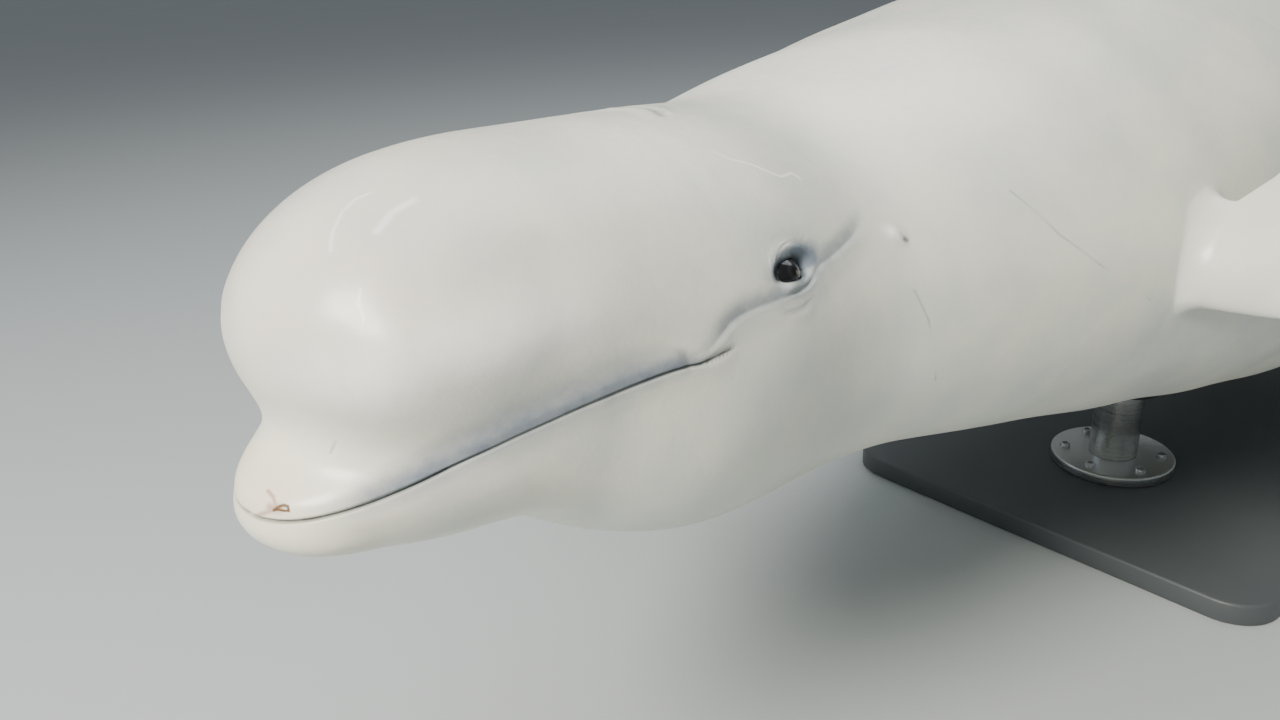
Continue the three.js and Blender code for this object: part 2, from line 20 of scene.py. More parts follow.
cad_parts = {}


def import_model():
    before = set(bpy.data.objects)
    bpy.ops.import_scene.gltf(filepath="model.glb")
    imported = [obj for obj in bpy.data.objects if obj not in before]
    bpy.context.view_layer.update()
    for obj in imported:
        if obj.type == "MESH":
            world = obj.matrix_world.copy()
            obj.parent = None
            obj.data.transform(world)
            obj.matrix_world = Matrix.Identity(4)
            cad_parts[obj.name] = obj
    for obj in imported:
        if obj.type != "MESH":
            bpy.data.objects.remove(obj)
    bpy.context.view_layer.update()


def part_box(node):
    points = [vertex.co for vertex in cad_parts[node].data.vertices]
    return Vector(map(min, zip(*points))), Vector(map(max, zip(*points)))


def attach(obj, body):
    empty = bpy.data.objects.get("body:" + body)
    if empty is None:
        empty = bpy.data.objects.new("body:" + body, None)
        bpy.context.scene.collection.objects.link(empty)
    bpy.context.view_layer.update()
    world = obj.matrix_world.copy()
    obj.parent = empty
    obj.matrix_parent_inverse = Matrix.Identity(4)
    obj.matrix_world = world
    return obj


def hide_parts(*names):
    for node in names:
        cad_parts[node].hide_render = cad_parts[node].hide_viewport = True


MM = 0.001
# Steps of a search that halves its range
HALVINGS = 24
# Keeps a length from being 0 where it divides
NEARLY_ZERO = 1e-9
# Metres between heights that count as one, and between a drum's rim and the points on it
TINY = 1e-5
RIM = 1e-4
# Upward part of a face's direction from which it counts as level
LEVEL = 0.9
BODY = "root"
LOG = logging.getLogger("whale")

# Markings that the skin holds at its points. The fold and socket marks are painted shade and the pale mark is
# painted highlight; the melon's blush, the cool mark and the lip band are partly painted shade
MARKS = ("blush", "cool", "edge", "fold", "ivory", "lip", "pale", "socket")

Point = tuple[float, float, float]
Array = np.ndarray


class Side(Enum):
    """The two flanks, by the sign of x."""

    LEFT = 1
    RIGHT = -1


class Slot(Enum):
    """Material slots of the record."""

    SKIN = "skin"
    EYE = "eye"
    PLATE = "stand_plate"
    STEEL = "stand_steel"
    PAD = "stand_pad"


def linear(hex_code: str) -> tuple[float, float, float, float]:
    """Turns an sRGB hex colour into linear RGBA.

    Args:
        hex_code: Six hex digits, without a leading mark.

    Returns:
        Red, green, blue and an alpha of 1.
    """
    channels = [int(hex_code[i : i + 2], 16) / 255 for i in (0, 2, 4)]
    turned = [c / 12.92 if c <= 0.04045 else ((c + 0.055) / 1.055) ** 2.4 for c in channels]
    return (*turned, 1.0)


def clamp01(value: Array) -> Array:
    """Holds values between 0 and 1."""
    return np.clip(value, 0.0, 1.0)


def smooth(value: Array) -> Array:
    """Eases 0 to 1 with level ends."""
    held = clamp01(value)
    return held * held * (3 - 2 * held)


def ramp(value: Array, start: float, span: float) -> Array:
    """Eases from 0 at the start to 1 a span further on."""
    return smooth((value - start) / span)


def mix(start: Array, end: Array, share: Array) -> Array:
    """Goes from start to end by a share."""
    return start + (end - start) * share


def hump(offset: Array, width: float) -> Array:
    """Round rise of height 1 about offset 0, that has mostly gone at the width."""
    return np.exp(-((offset / width) ** 2))


def blend(first: Array, second: Array, soft: float) -> Array:
    """Joins two distances with a rounded valley between the shapes.

    Args:
        first: Distance from one shape.
        second: Distance from the other.
        soft: Width of the valley.

    Returns:
        Distance from the two shapes joined.
    """
    share = clamp01(0.5 + 0.5 * (second - first) / soft)
    return mix(second, first, share) - soft * share * (1 - share)


def length(vector: Array) -> Array:
    """Gives the lengths of vectors."""
    return np.linalg.norm(vector, axis=-1)


def following(items: Array) -> Array:
    """Gives, for each item of a closed loop, the one after it."""
    return np.roll(items, -1, axis=0)


def unit(vector: Array) -> Array:
    """Scales vectors to a length of 1."""
    return vector / np.linalg.norm(vector, axis=-1, keepdims=True)


def turn_z(vector: Array, angle: Array) -> Array:
    """Turns vectors about the upright axis.

    Args:
        vector: Vectors in the last axis.
        angle: Angle in radians, one for all or one for each.

    Returns:
        The turned vectors.
    """
    cos, sin = np.cos(angle), np.sin(angle)
    x, y, z = vector[..., 0], vector[..., 1], vector[..., 2]
    return np.stack([cos * x - sin * y, sin * x + cos * y, z + 0 * x], axis=-1)


def strip(inner: Array, outer: Array) -> Array:
    """Gives the corners of the four-cornered faces between two closed loops."""
    return np.stack([inner, following(inner), following(outer), outer], axis=1)


def cap(loop: Array, middle: Array) -> Array:
    """Gives the corners of the triangles between a closed loop and a point."""
    return np.stack([loop, following(loop), np.broadcast_to(middle, loop.shape)], axis=1)


def fold_left(p: Array) -> Array:
    """Mirrors points of the right flank on to the left."""
    return np.concatenate([np.abs(p[..., :1]), p[..., 1:]], axis=-1)


class SmoothCurve:
    """Smooth curve through stations, level with their slopes."""

    def __init__(self, at: list[float], value: list[float]) -> None:
        """Works out the slope at each station.

        Args:
            at: Rising places of the stations.
            value: What the curve is there.
        """
        self.at = np.array(at, float)
        self.value = np.array(value, float)
        self.gap = np.diff(self.at)
        rise = np.diff(self.value) / self.gap
        middle = (rise[:-1] * self.gap[1:] + rise[1:] * self.gap[:-1]) / (self.gap[1:] + self.gap[:-1])
        self.slope = np.concatenate([rise[:1], middle, rise[-1:]])

    def __call__(self, place: Array) -> Array:
        """Gives the curve's value.

        Args:
            place: Where to read the curve. Past its ends it keeps the end value.

        Returns:
            The value at each place.
        """
        held = np.clip(place, self.at[0], self.at[-1])
        i = np.clip(np.searchsorted(self.at, held, side="right") - 1, 0, len(self.gap) - 1)
        t = (held - self.at[i]) / self.gap[i]
        start = (1 + 2 * t) * (1 - t) ** 2 * self.value[i] + t * (1 - t) ** 2 * self.gap[i] * self.slope[i]
        end = t * t * (3 - 2 * t) * self.value[i + 1]
        return start + end + t * t * (t - 1) * self.gap[i] * self.slope[i + 1]

    def steepness(self, place: Array) -> Array:
        """Gives the curve's slope, from two near points."""
        return (self(place + 1) - self(place - 1)) / 2


@dataclass(frozen=True)
class Mass:
    """One rounded mass of the body, and how softly it joins the rest."""

    centre: Point
    half: Point
    soft: float
    pitch: float = 0.0

    def distance(self, p: Array) -> Array:
        """Gives the distance of points from the mass, below 0 inside.

        Args:
            p: Points in the frame that the mass is placed in.

        Returns:
            Distances in millimetres.
        """
        away = p - np.array(self.centre)
        cos, sin = math.cos(self.pitch), math.sin(self.pitch)
        y = away[..., 1] * cos + away[..., 2] * sin
        z = away[..., 2] * cos - away[..., 1] * sin
        away = np.stack([away[..., 0], y, z], axis=-1)
        half = np.array(self.half)
        near, steep = length(away / half) + NEARLY_ZERO, length(away / half**2) + NEARLY_ZERO
        return near * (near - 1) / steep


@dataclass(frozen=True)
class WhaleForm:
    """Masses and girths of the whale, the same as those of its solids."""

    notch: float = 3560
    head_turn: float = math.radians(8.7)
    neck: Point = (0, 440, 30)
    # Distance behind the snout, height of the back, height of the belly, half width
    stations: tuple = (
        (300, 170, -100, 155),
        (420, 180, -118, 188),
        (550, 205, -140, 225),
        (750, 240, -180, 270),
        (1050, 280, -245, 315),
        (1500, 300, -310, 335),
        (2000, 285, -290, 300),
        (2500, 225, -205, 210),
        (2950, 150, -105, 100),
        (3240, 96, -42, 46),
        (3400, 64, 0, 36),
        (3500, 47, 17, 28),
        (3560, 39, 25, 18),
    )
    trunk_start: float = 300
    trunk_start_softness: float = 50
    squareness: float = 2.15
    widest_level: float = 0.47
    cranium: Mass = Mass((0, 318, 48), (168, 186, 134), 60)
    throat: Mass = Mass((0, 363, -36), (145, 198, 66), 60)
    cheek: Mass = Mass((70, 282, 10), (84, 119, 80), 50)
    beak: Mass = Mass((0, 149, 14), (99, 153, 44), 30)
    jaw: Mass = Mass((0, 178, -2), (99, 163, 40), 20)
    lips: Mass = Mass((0, 38, 0), (56, 46, 24), 12)
    # The melon meets the beak sharply, and the crown softly
    melon: Mass = Mass((0, 162, 100), (129, 151, 99), 35)
    crown_soft: float = 72
    crown_start: float = 70
    crown_length: float = 90
    ridge: Mass = Mass((0, 2060, 262), (30, 340, 38), 22, math.atan(-0.075))
    reach: float = 900
    slope_step: float = 1.5

    def column(self, index: int) -> SmoothCurve:
        """Makes the curve of one column of the stations."""
        return SmoothCurve([row[0] for row in self.stations], [row[index] for row in self.stations])

    def lines(self, y: Array) -> tuple[Array, Array, Array, Array]:
        """Reads the trunk's outline.

        Args:
            y: Distances behind the snout.

        Returns:
            Height of the back, of the belly, of the widest line, and half width.
        """
        back, belly, width = self.column(1)(y), self.column(2)(y), self.column(3)(y)
        return back, belly, mix(belly, back, self.widest_level), width

    def trunk_distance(self, p: Array) -> Array:
        """Gives the distance of points in the whale's frame from the straight trunk.

        Args:
            p: Points in the whale's frame.

        Returns:
            Distances in millimetres.
        """
        x, y, z = p[..., 0], p[..., 1], p[..., 2]
        back, belly, level, width = self.lines(y)
        height = np.where(z > level, back - level, level - belly)
        power = self.squareness
        fill = (np.abs(x / width) ** power + np.abs((z - level) / height) ** power) ** (1 / power)
        reach = np.hypot(x, z - level)
        outside = reach * (1 - 1 / np.maximum(fill, 1e-6))
        # At the very middle the distance outwards has no direction
        round_part = np.where(fill < 1e-3, -np.minimum(width, height), outside)
        return -blend(-round_part, y - self.trunk_start, self.trunk_start_softness)

    def belly_height(self, x: Array, y: Array) -> Array:
        """Gives the height of the trunk's underside below a place.

        Args:
            x: Places to the left.
            y: Places behind the snout.

        Returns:
            Heights in the whale's frame.
        """
        _, belly, level, width = self.lines(y)
        share = 1 - np.abs(x / width) ** self.squareness
        return level - (level - belly) * share ** (1 / self.squareness)

    def to_trunk(self, p: Array) -> Array:
        """Takes points from the head's frame to the whale's."""
        neck = np.array(self.neck)
        return turn_z(p - neck, self.head_turn) + neck

    def to_head(self, p: Array) -> Array:
        """Takes points from the whale's frame to the head's."""
        neck = np.array(self.neck)
        return turn_z(p - neck, -self.head_turn) + neck

    def distance(self, p: Array) -> Array:
        """Gives the distance of points in the head's frame from the whale's flesh, limbs left out.

        Args:
            p: Points in the head's frame.

        Returns:
            Distances in millimetres, below 0 inside.
        """
        straight, mirrored = self.to_trunk(p), fold_left(p)
        flesh = self.trunk_distance(straight)
        flesh = blend(flesh, self.ridge.distance(straight), self.ridge.soft)
        for mass, place in ((self.cranium, p), (self.throat, p), (self.cheek, mirrored)):
            flesh = blend(flesh, mass.distance(place), mass.soft)
        muzzle = self.beak.distance(p)
        for mass in (self.jaw, self.lips):
            muzzle = blend(muzzle, mass.distance(p), mass.soft)
        flesh = blend(flesh, muzzle, self.beak.soft)
        return blend(flesh, self.melon.distance(p), self.melon_blend(p))

    def melon_blend(self, p: Array) -> Array:
        """Gives how softly the melon joins the rest at points of the head's frame."""
        return mix(self.melon.soft, self.crown_soft, ramp(p[..., 1], self.crown_start, self.crown_length))

    def cast(self, start: Array, direction: Array, reach: float = 0) -> Array:
        """Finds where rays from inside the body leave the flesh.

        Args:
            start: Points inside.
            direction: Unit vectors.
            reach: Longest way to look, or 0 for the usual one.

        Returns:
            Points on the surface.
        """
        near = np.zeros(direction.shape[:-1])
        far = np.full(direction.shape[:-1], float(reach or self.reach))
        for _ in range(HALVINGS):
            middle = (near + far) / 2
            inside = self.distance(start + direction * middle[..., None]) < 0
            near = np.where(inside, middle, near)
            far = np.where(inside, far, middle)
        return start + direction * near[..., None]

    def normal(self, p: Array) -> Array:
        """Gives the outward direction of the surface at points of the head's frame."""
        steps = self.slope_step * np.eye(3)
        return unit(np.stack([self.distance(p + step) - self.distance(p - step) for step in steps], axis=-1))


class Run(Enum):
    """Which way a crease runs in the side view."""

    ALONG = "along the body"
    UPRIGHT = "up and down"


@dataclass(frozen=True)
class Crease:
    """A crease on the flank, drawn in the head's side view.

    The line's points hold the running place first: y and then z where it runs along the body, z and
    then y where it is upright. A rise above 0 stands proud beside the crease.
    """

    line: tuple
    depth: float
    width: float
    rise_over: float = 0.0
    rise_under: float = 0.0
    rise_width: float = 5.0
    fade: float = 15.0
    run: Run = Run.ALONG
    shade_share: float = 1.3

    def offsets(self, p: Array) -> tuple[Array, Array]:
        """Measures points against the line.

        Args:
            p: Points in the head's frame.

        Returns:
            Distance over the line, or behind it where it is upright, and how much of the crease is
            there, from 0 past its ends to 1.
        """
        along, across = (p[..., 1], p[..., 2]) if self.run is Run.ALONG else (p[..., 2], p[..., 1])
        curve = SmoothCurve([q[0] for q in self.line], [q[1] for q in self.line])
        over = (across - curve(along)) / np.sqrt(1 + curve.steepness(along) ** 2)
        first, last = self.line[0][0], self.line[-1][0]
        return over, ramp(along, first, self.fade) * smooth((last - along) / self.fade)

    def relief(self, p: Array) -> Array:
        """Gives how far the crease lifts the skin at points of the head's frame.

        Args:
            p: Points in the head's frame.

        Returns:
            Lifts in millimetres.
        """
        over, there = self.offsets(p)
        lift = -self.depth * hump(over, self.width)
        lift = lift + self.rise_over * hump(over - self.rise_width, self.rise_width)
        return there * (lift + self.rise_under * hump(over + self.rise_width, self.rise_width))

    def shade(self, p: Array) -> Array:
        """Gives the painted shade at the bottom of the crease at points, from 0 to 1."""
        over, there = self.offsets(p)
        return there * hump(over, self.shade_share * self.width)


@dataclass(frozen=True)
class Fold(Crease):
    """A crease whose upper skin dips gently to the line, and whose lower skin stands up at once."""

    dip_reach: float = 7.0
    step: float = 1.4

    def relief(self, p: Array) -> Array:
        """Gives how far the fold lifts the skin at points of the head's frame.

        Args:
            p: Points in the head's frame.

        Returns:
            Lifts in millimetres.
        """
        over, there = self.offsets(p)
        share = ramp(over, -self.step, 2 * self.step)
        above = -self.depth * np.exp(-np.maximum(over, 0) / self.dip_reach)
        below = self.rise_under * np.exp(np.minimum(over, 0) / self.rise_width)
        return there * mix(below, above, share)


@dataclass(frozen=True)
class Swell:
    """A soft ridge, or a trough where its height is below 0, along a line over the left flank."""

    line: tuple
    height: float
    width: float
    rise: float
    fall: float
    early: float = 0.3

    def relief(self, p: Array) -> Array:
        """Gives how far the swell lifts the skin at points of the head's frame.

        Args:
            p: Points in the head's frame.

        Returns:
            Lifts in millimetres.
        """
        line = np.array(self.line, float)
        nearest = np.full(p.shape[:-1], 1e9)
        place = np.zeros(p.shape[:-1])
        done = 0.0
        for start, end in zip(line[:-1], line[1:]):
            run = end - start
            span = float(length(run))
            share = clamp01(((p - start) @ run) / span**2)
            gap = length(p - start - share[..., None] * run)
            closer = gap < nearest
            nearest = np.where(closer, gap, nearest)
            place = np.where(closer, done + share * span, place)
            done += span
        there = ramp(place, -self.early * self.rise, self.rise) * smooth((done - place) / self.fall)
        return self.height * there * hump(nearest, self.width)


@dataclass(frozen=True)
class Ring:
    """A rounded ring about a place near the eye, in millimetres, or a spot where its radius is 0."""

    height: float
    radius: float
    width: float
    back: float = 0.0
    up: float = 0.0
    stretch: float = 1.0

    def at(self, a: Array, b: Array) -> Array:
        """Gives the ring's height at distances towards the tail and the crown."""
        away = np.hypot((a - self.back) / self.stretch, b - self.up)
        return self.height * hump(away - self.radius, self.width)


@dataclass(frozen=True)
class Spot:
    """A soft spot in the head's frame, the same on both flanks."""

    centre: Point
    reach: Point
    strength: float = 1.0

    def at(self, q: Array) -> Array:
        """Gives the spot's strength at points folded to the left flank."""
        return self.strength * hump(length((q - np.array(self.centre)) / np.array(self.reach)), 1.0)


@dataclass(frozen=True)
class Band:
    """A soft band beside a line, with its height, its middle's distance from the line and its width."""

    height: float
    middle: float
    width: float

    def at(self, offset: Array) -> Array:
        """Gives the band's height at distances from the line."""
        return self.height * hump(offset - self.middle, self.width)


@dataclass(frozen=True)
class EyeSeat:
    """Where one eye sits, and the shape of the lids round it."""

    centre: Array
    out: Array
    radius: float
    opening: tuple[float, float] = (12.3, 8.8)
    lid_thickness: float = 1.1
    lid_edge: float = 0.9
    drape: float = 0.7
    gap: float = 0.3
    lower_share: float = 0.74
    fullness: float = 2.5
    # Where the brow takes over from the lower lid, and where the arcs begin: start and span
    brow_side: tuple[float, float] = (-0.15, 0.8)
    arc_side: tuple[float, float] = (0.35, 0.35)
    brow: Ring = Ring(1.6, 17, 5)
    lower_lid: Ring = Ring(0.9, 11.3, 2.4, stretch=1.3)
    # The hollow behind the eye and the pad below its front
    pads: tuple = (Ring(-2.0, 0, 7.0, 16.5, 5.5), Ring(2.2, 0, 3.6, -9.5, -10.3, 1.4))
    arcs: tuple = tuple(Ring(*sizes, 0.95, 3.5, -1) for sizes in ((-0.8, 19.5), (-0.6, 22.5), (-0.3, 26.0)))
    # Painted shade: the dark ring in the eye's recess, wider above under the upper lid, and the cool halo,
    # partly grey skin and partly painted shade, then their corners and the pale pad
    dark_size: float = 9.0
    dark_fade: tuple[float, float] = (2.0, 4.5)
    dark_side: tuple[float, float] = (-4, 8)
    halo_size: float = 8
    halo_width: float = 11.0
    halo_side: tuple[float, float] = (-9, 12)
    halo_strength: float = 1.35
    dark_corner: Ring = Ring(0.45, 0, 5.5, 15, 7, 1.2)
    halo_corner: Ring = Ring(0.8, 0, 11, 19, 6, 1.3)
    pale_pad: Ring = Ring(0.92, 0, 4.2, -9, -11, 1.6)
    ring_stretch: float = 1.4

    def lid_half(self, below: Array) -> Array:
        """Gives how far the opening reaches up, or down where it is below the eye's middle."""
        return self.opening[1] * np.where(below, self.lower_share, 1.0)

    def outline(self, angle: Array, edge: float) -> tuple[Array, Array]:
        """Gives the opening's outline, a little fuller than an ellipse, grown by the width of an edge.

        Args:
            angle: Angles about the eye's axis.
            edge: Width of the edge.

        Returns:
            Distances towards the tail and the crown.
        """
        along, up = np.cos(angle), np.sin(angle)
        fuller = (np.abs(along) ** self.fullness + np.abs(up) ** self.fullness) ** (-1 / self.fullness)
        return (self.opening[0] + edge) * along * fuller, (self.lid_half(up < 0) + edge) * up * fuller

    @property
    def back(self) -> Array:
        """Direction towards the tail along the skin."""
        tail = np.array([0.0, 1.0, 0.0])
        return unit(tail - self.out * (tail @ self.out))

    @property
    def up(self) -> Array:
        """Direction towards the crown along the skin."""
        up = np.cross(self.out, self.back)
        return up if up[2] > 0 else -up

    def local(self, p: Array) -> tuple[Array, Array, Array]:
        """Measures points from the middle of the eyeball.

        Args:
            p: Points in the head's frame.

        Returns:
            Distances towards the tail, the crown and outwards.
        """
        away = p - self.centre
        return away @ self.back, away @ self.up, away @ self.out

    def ball_height(self, across: Array, extra: float) -> Array:
        """Gives the height of a ball round the eye at distances from its axis."""
        size = self.radius + extra
        return np.sqrt(np.maximum(size**2 - across**2, 0.0))

    def crest(self, angle: Array) -> tuple[Array, Array, Array]:
        """Gives the line along the top of the lids.

        Args:
            angle: Angle about the eye's axis, from the tail side towards the crown.

        Returns:
            Distances towards the tail, the crown and outwards.
        """
        a, b = self.outline(angle, self.lid_edge)
        return a, b, self.ball_height(np.hypot(a, b), self.gap) + self.lid_thickness

    def place(self, a: Array, b: Array, height: Array) -> Array:
        """Turns distances about the eye into points of the head's frame."""
        return self.centre + a[..., None] * self.back + b[..., None] * self.up + height[..., None] * self.out

    def settle(self, p: Array) -> Array:
        """Draws skin near the eye down on to the lids' line.

        Args:
            p: Points of the skin in the head's frame.

        Returns:
            The same points, moved along the eye's axis.
        """
        a, b, height = self.local(p)
        reach_a, reach_b = self.opening[0] + self.lid_edge, self.lid_half(b < 0) + self.lid_edge
        spread = np.hypot(a / reach_a, b / reach_b)
        angle = np.arctan2(b / reach_b, a / reach_a)
        near = (height > 0) * (1 - smooth((spread - 1) / self.drape))
        return p + (near * (self.crest(angle)[2] - height))[..., None] * self.out

    def lift(self, p: Array) -> Array:
        """Gives the lift of the pads and folds about the eye.

        Args:
            p: Points in the head's frame.

        Returns:
            Lifts in millimetres.
        """
        a, b, height = self.local(p)
        rising = b / np.maximum(np.hypot(a, b), 1e-3)
        upper = ramp(rising, *self.brow_side)
        total = self.brow.at(a, b) * upper + self.lower_lid.at(a, b) * (1 - upper)
        total = total + sum(pad.at(a, b) for pad in self.pads)
        total = total + sum(arc.at(a, b) for arc in self.arcs) * ramp(rising, *self.arc_side)
        return (height > 0) * total

    def shade(self, p: Array) -> tuple[Array, Array]:
        """Gives the painted shade in the eye's recess, and the cool halo round it, partly grey skin and partly
        painted shade.

        Args:
            p: Points in the head's frame.

        Returns:
            Shares of the dark and of the cool colour.
        """
        a, b, height = self.local(p)
        ring = np.hypot(a / self.ring_stretch, b / np.where(b < 0, self.lower_share, 1.0))
        dark = 1 - ramp(ring, self.dark_size, mix(*self.dark_fade, ramp(b, *self.dark_side)))
        dark = (dark + self.dark_corner.at(a, b)) * (1 - self.pale_pad.at(a, b))
        halo = ramp(b, *self.halo_side) * hump(np.maximum(ring - self.halo_size, 0), self.halo_width)
        return (height > 0) * dark, (height > 0) * self.halo_strength * (halo + self.halo_corner.at(a, b))


@dataclass(frozen=True)
class HeadRelief:
    """What the skin adds to the form: mouth, creases, lids, ear pits, blowhole and soft unevenness."""

    form: WhaleForm
    eyes: dict
    mouth: Crease = Crease(
        line=((-60, 6), (-9, 11), (0, 13), (16, 17), (43, 24), (65, 30), (91, 39), (115, 49), (142, 58),
              (166, 62.5), (186, 65), (201, 66), (212, 66), (222, 65.5), (236, 68), (252, 69)),
        depth=3.6, width=0.85, rise_over=1.2, rise_under=0.7, rise_width=6.5, fade=15.0,
    )  # fmt: skip
    cheek_crease: Fold = Fold(
        line=((206, 69), (218, 71), (231, 73), (243, 79), (252, 83.5), (262, 86), (274, 87), (290, 87.5),
              (306, 88), (318, 88.5), (328, 91), (336, 95.5), (344, 99.5), (354, 101), (366, 103.5),
              (378, 106.5), (390, 110), (401, 115), (411, 121), (421, 129)),
        depth=2.2, width=1.4, rise_under=0.35, rise_width=9.0, fade=42.0,
    )  # fmt: skip
    under_lid: Crease = Crease(
        line=((292, 80), (302, 78.5), (314, 79), (326, 83)), depth=0.6, width=1.3, rise_under=0.4, fade=8.0
    )
    lip_fold: Crease = Crease(
        line=((58, 214), (68, 212.5), (82, 206)), depth=1.2, width=2.2, fade=9.0, run=Run.UPRIGHT
    )
    # The upper jaw's shoulder, and the shallow hollow between it and the melon
    swells: tuple = (
        Swell(((65, 32, 100), (87, 50, 106), (102, 73, 109), (115, 98, 110), (123, 127, 110), (131, 159, 108),
               (139, 205, 104)), 6.0, 23, 50, 150),
        Swell(((96, 76, 146), (109, 106, 146), (118, 142, 143), (128, 190, 138)), -2.5, 24, 60, 60),
    )  # fmt: skip
    # Painted highlight where the skin faces the light: upper jaw, its shoulder, crown and nape
    painted_highlights: tuple = (
        Spot((20, 22, 44), (45, 34, 30)),
        Spot((75, 42, 98), (48, 40, 24)),
        Spot((115, 105, 108), (40, 75, 20)),
        Spot((60, 290, 178), (55, 60, 45)),
        Spot((60, 560, 190), (150, 130, 90)),
    )
    # The ear's pit and the low rim before it, with the pit's shade
    ear_relief: tuple = (
        Spot((181, 432, 100), (2.4, 2.4, 2.4), -2.2),
        Spot((176, 425, 105), (6.0, 6.0, 6.0), 3.0),
    )
    ear_shade: Spot = Spot((181, 432, 100), (2.9, 2.9, 2.9))
    # Painted shade on the head behind the melon, where it faces away from the light
    painted_crown_shade: Spot = Spot((120, 385, 150), (60, 62, 50), 0.42)
    # Grey round the eye, partly painted shade
    orbit_grey_and_shade: Spot = Spot((158, 318, 108), (32, 32, 32), 0.6)
    # Pinkish grey on the melon's front, partly painted shade
    melon_blush_and_shade: Spot = Spot((70, 40, 120), (90, 90, 80))
    ivory_tip: Spot = Spot((0, 10, 26), (75, 75, 45))
    # The lips' grey band, partly painted shade where the lip faces down: its height above the mouth line at
    # distances behind the snout
    lip_band: SmoothCurve = SmoothCurve(
        [0, 20, 48, 66, 90, 115, 141, 180, 205, 222], [3, 10, 19, 27, 34, 37, 34, 27, 18, 9]
    )
    # Start and span along the body, and across the lips, of the band's ends
    lip_front: tuple[float, float] = (4, 40)
    lip_back: tuple[float, float] = (205, 38)
    lip_top: tuple[float, float] = (0.1, 0.95)
    lip_bottom: tuple[float, float] = (2, 9)
    lip_edge: float = 0.5
    lower_lip: float = 0.55
    # Painted shade over and under the cheek crease
    crease_painted_shade: tuple = (Band(0.9, 4, 6.5), Band(0.25, -9, 7))
    cheek_shade: float = 0.55
    lid_shade: float = 0.35
    lip_shade: float = 0.5
    blowhole_y: float = 358
    blowhole_half: float = 25
    blowhole_bow: float = 15
    blowhole_ends: tuple[float, float] = (0.75, 0.4)
    top_side: tuple[float, float] = (100, 40)
    # The raised lip in front of the slit, the slit and the lip behind it, then the painted shade in the slit
    # and the cool grey round it
    blowhole_relief: tuple = (Band(1.8, -12, 9), Band(-5.0, 0, 2.2), Band(1.2, 8, 6))
    blowhole_dark: Band = Band(1.0, 0, 2.6)
    blowhole_cool: Band = Band(0.5, 0, 12)
    # Where the mouth line gives the seam over to the cheek crease
    seam_gap: tuple[float, float] = (222, 243)
    flank_side: tuple[float, float] = (60, 40)
    # Height of the blubber's waves on the head and on the trunk, and where they change and end
    wave_height: tuple[float, float] = (0.35, 1.6)
    wave_growth: tuple[float, float] = (400, 500)
    wave_end: tuple[float, float] = (2900, 400)
    small_wave: float = 0.6

    @property
    def seam(self) -> SmoothCurve:
        """Line of the mouth and then of the cheek crease, which the mesh follows.

        Returns:
            Heights at places behind the snout.
        """
        points = [q for q in self.mouth.line if q[0] <= self.seam_gap[0]]
        points += [q for q in self.cheek_crease.line if q[0] >= self.seam_gap[1]]
        return SmoothCurve([q[0] for q in points], [q[1] for q in points])

    def blowhole(self, p: Array) -> tuple[Array, Array]:
        """Measures points against the blowhole's slit, a crescent with its horns forward.

        Args:
            p: Points in the head's frame.

        Returns:
            Distance behind the slit, and how much of the slit is there.
        """
        x = p[..., 0] / self.blowhole_half
        behind = p[..., 1] - self.blowhole_y + self.blowhole_bow * x**2
        return behind, ramp(p[..., 2], *self.top_side) * (1 - ramp(np.abs(x), *self.blowhole_ends))

    def lift(self, p: Array) -> Array:
        """Gives how far the skin stands off the form, along its normal.

        Args:
            p: Points on the form's surface, in the head's frame.

        Returns:
            Lifts in millimetres.
        """
        q = fold_left(p)
        folds = sum(fold.relief(q) for fold in (self.cheek_crease, self.under_lid, self.lip_fold))
        total = self.mouth.relief(q) + self.flank(q) * folds
        total = total + sum(swell.relief(q) for swell in self.swells)
        total = total + sum(seat.lift(p) for seat in self.eyes.values())
        total = total + sum(spot.at(q) for spot in self.ear_relief)
        behind, there = self.blowhole(p)
        total = total + there * sum(band.at(behind) for band in self.blowhole_relief)
        return total + self.unevenness(p)

    def flank(self, q: Array) -> Array:
        """Gives 1 on the head's sides and 0 near its midline."""
        return ramp(q[..., 0], *self.flank_side)

    def unevenness(self, p: Array) -> Array:
        """Gives the soft waves of blubber under the skin, lowest on the head.

        Args:
            p: Points on the form's surface, in the head's frame.

        Returns:
            Lifts in millimetres.
        """
        x, y, z = p[..., 0], p[..., 1], p[..., 2]
        # The divisors are wave lengths in millimetres to a radian, with no common measure
        waves = np.sin(x / 41 + 1.3 * np.sin(y / 67)) * np.sin(z / 37 + y / 83)
        waves = waves + self.small_wave * np.sin(y / 29 + 2.1 * np.sin(z / 53 + x / 71))
        return waves * mix(*self.wave_height, ramp(y, *self.wave_growth)) * (1 - ramp(y, *self.wave_end))

    def marks(self, p: Array) -> dict[str, Array]:
        """Works out where the skin's markings lie, among them painted shade and painted highlights.

        Args:
            p: Points on the form's surface, in the head's frame.

        Returns:
            Shares from 0 to 1 by the name of the marking.
        """
        q = fold_left(p)
        flank = self.flank(q)
        behind, slit = self.blowhole(p)
        # Painted shade in the mouth slit, the creases, the blowhole's slit and the ear's pit
        creases = [
            self.mouth.shade(q),
            self.cheek_shade * flank * self.cheek_crease.shade(q),
            self.lid_shade * flank * self.under_lid.shade(q),
            self.lip_shade * flank * self.lip_fold.shade(q),
            slit * self.blowhole_dark.at(behind),
            self.ear_shade.at(q),
        ]
        # Painted shade over the cheek crease and behind the melon, and grey round the eye that is partly
        # painted shade
        over, there = self.cheek_crease.offsets(q)
        cool = flank * there * sum(band.at(over) for band in self.crease_painted_shade)
        cool = np.maximum(cool, self.painted_crown_shade.at(q)) + self.orbit_grey_and_shade.at(q) * (1 - cool)
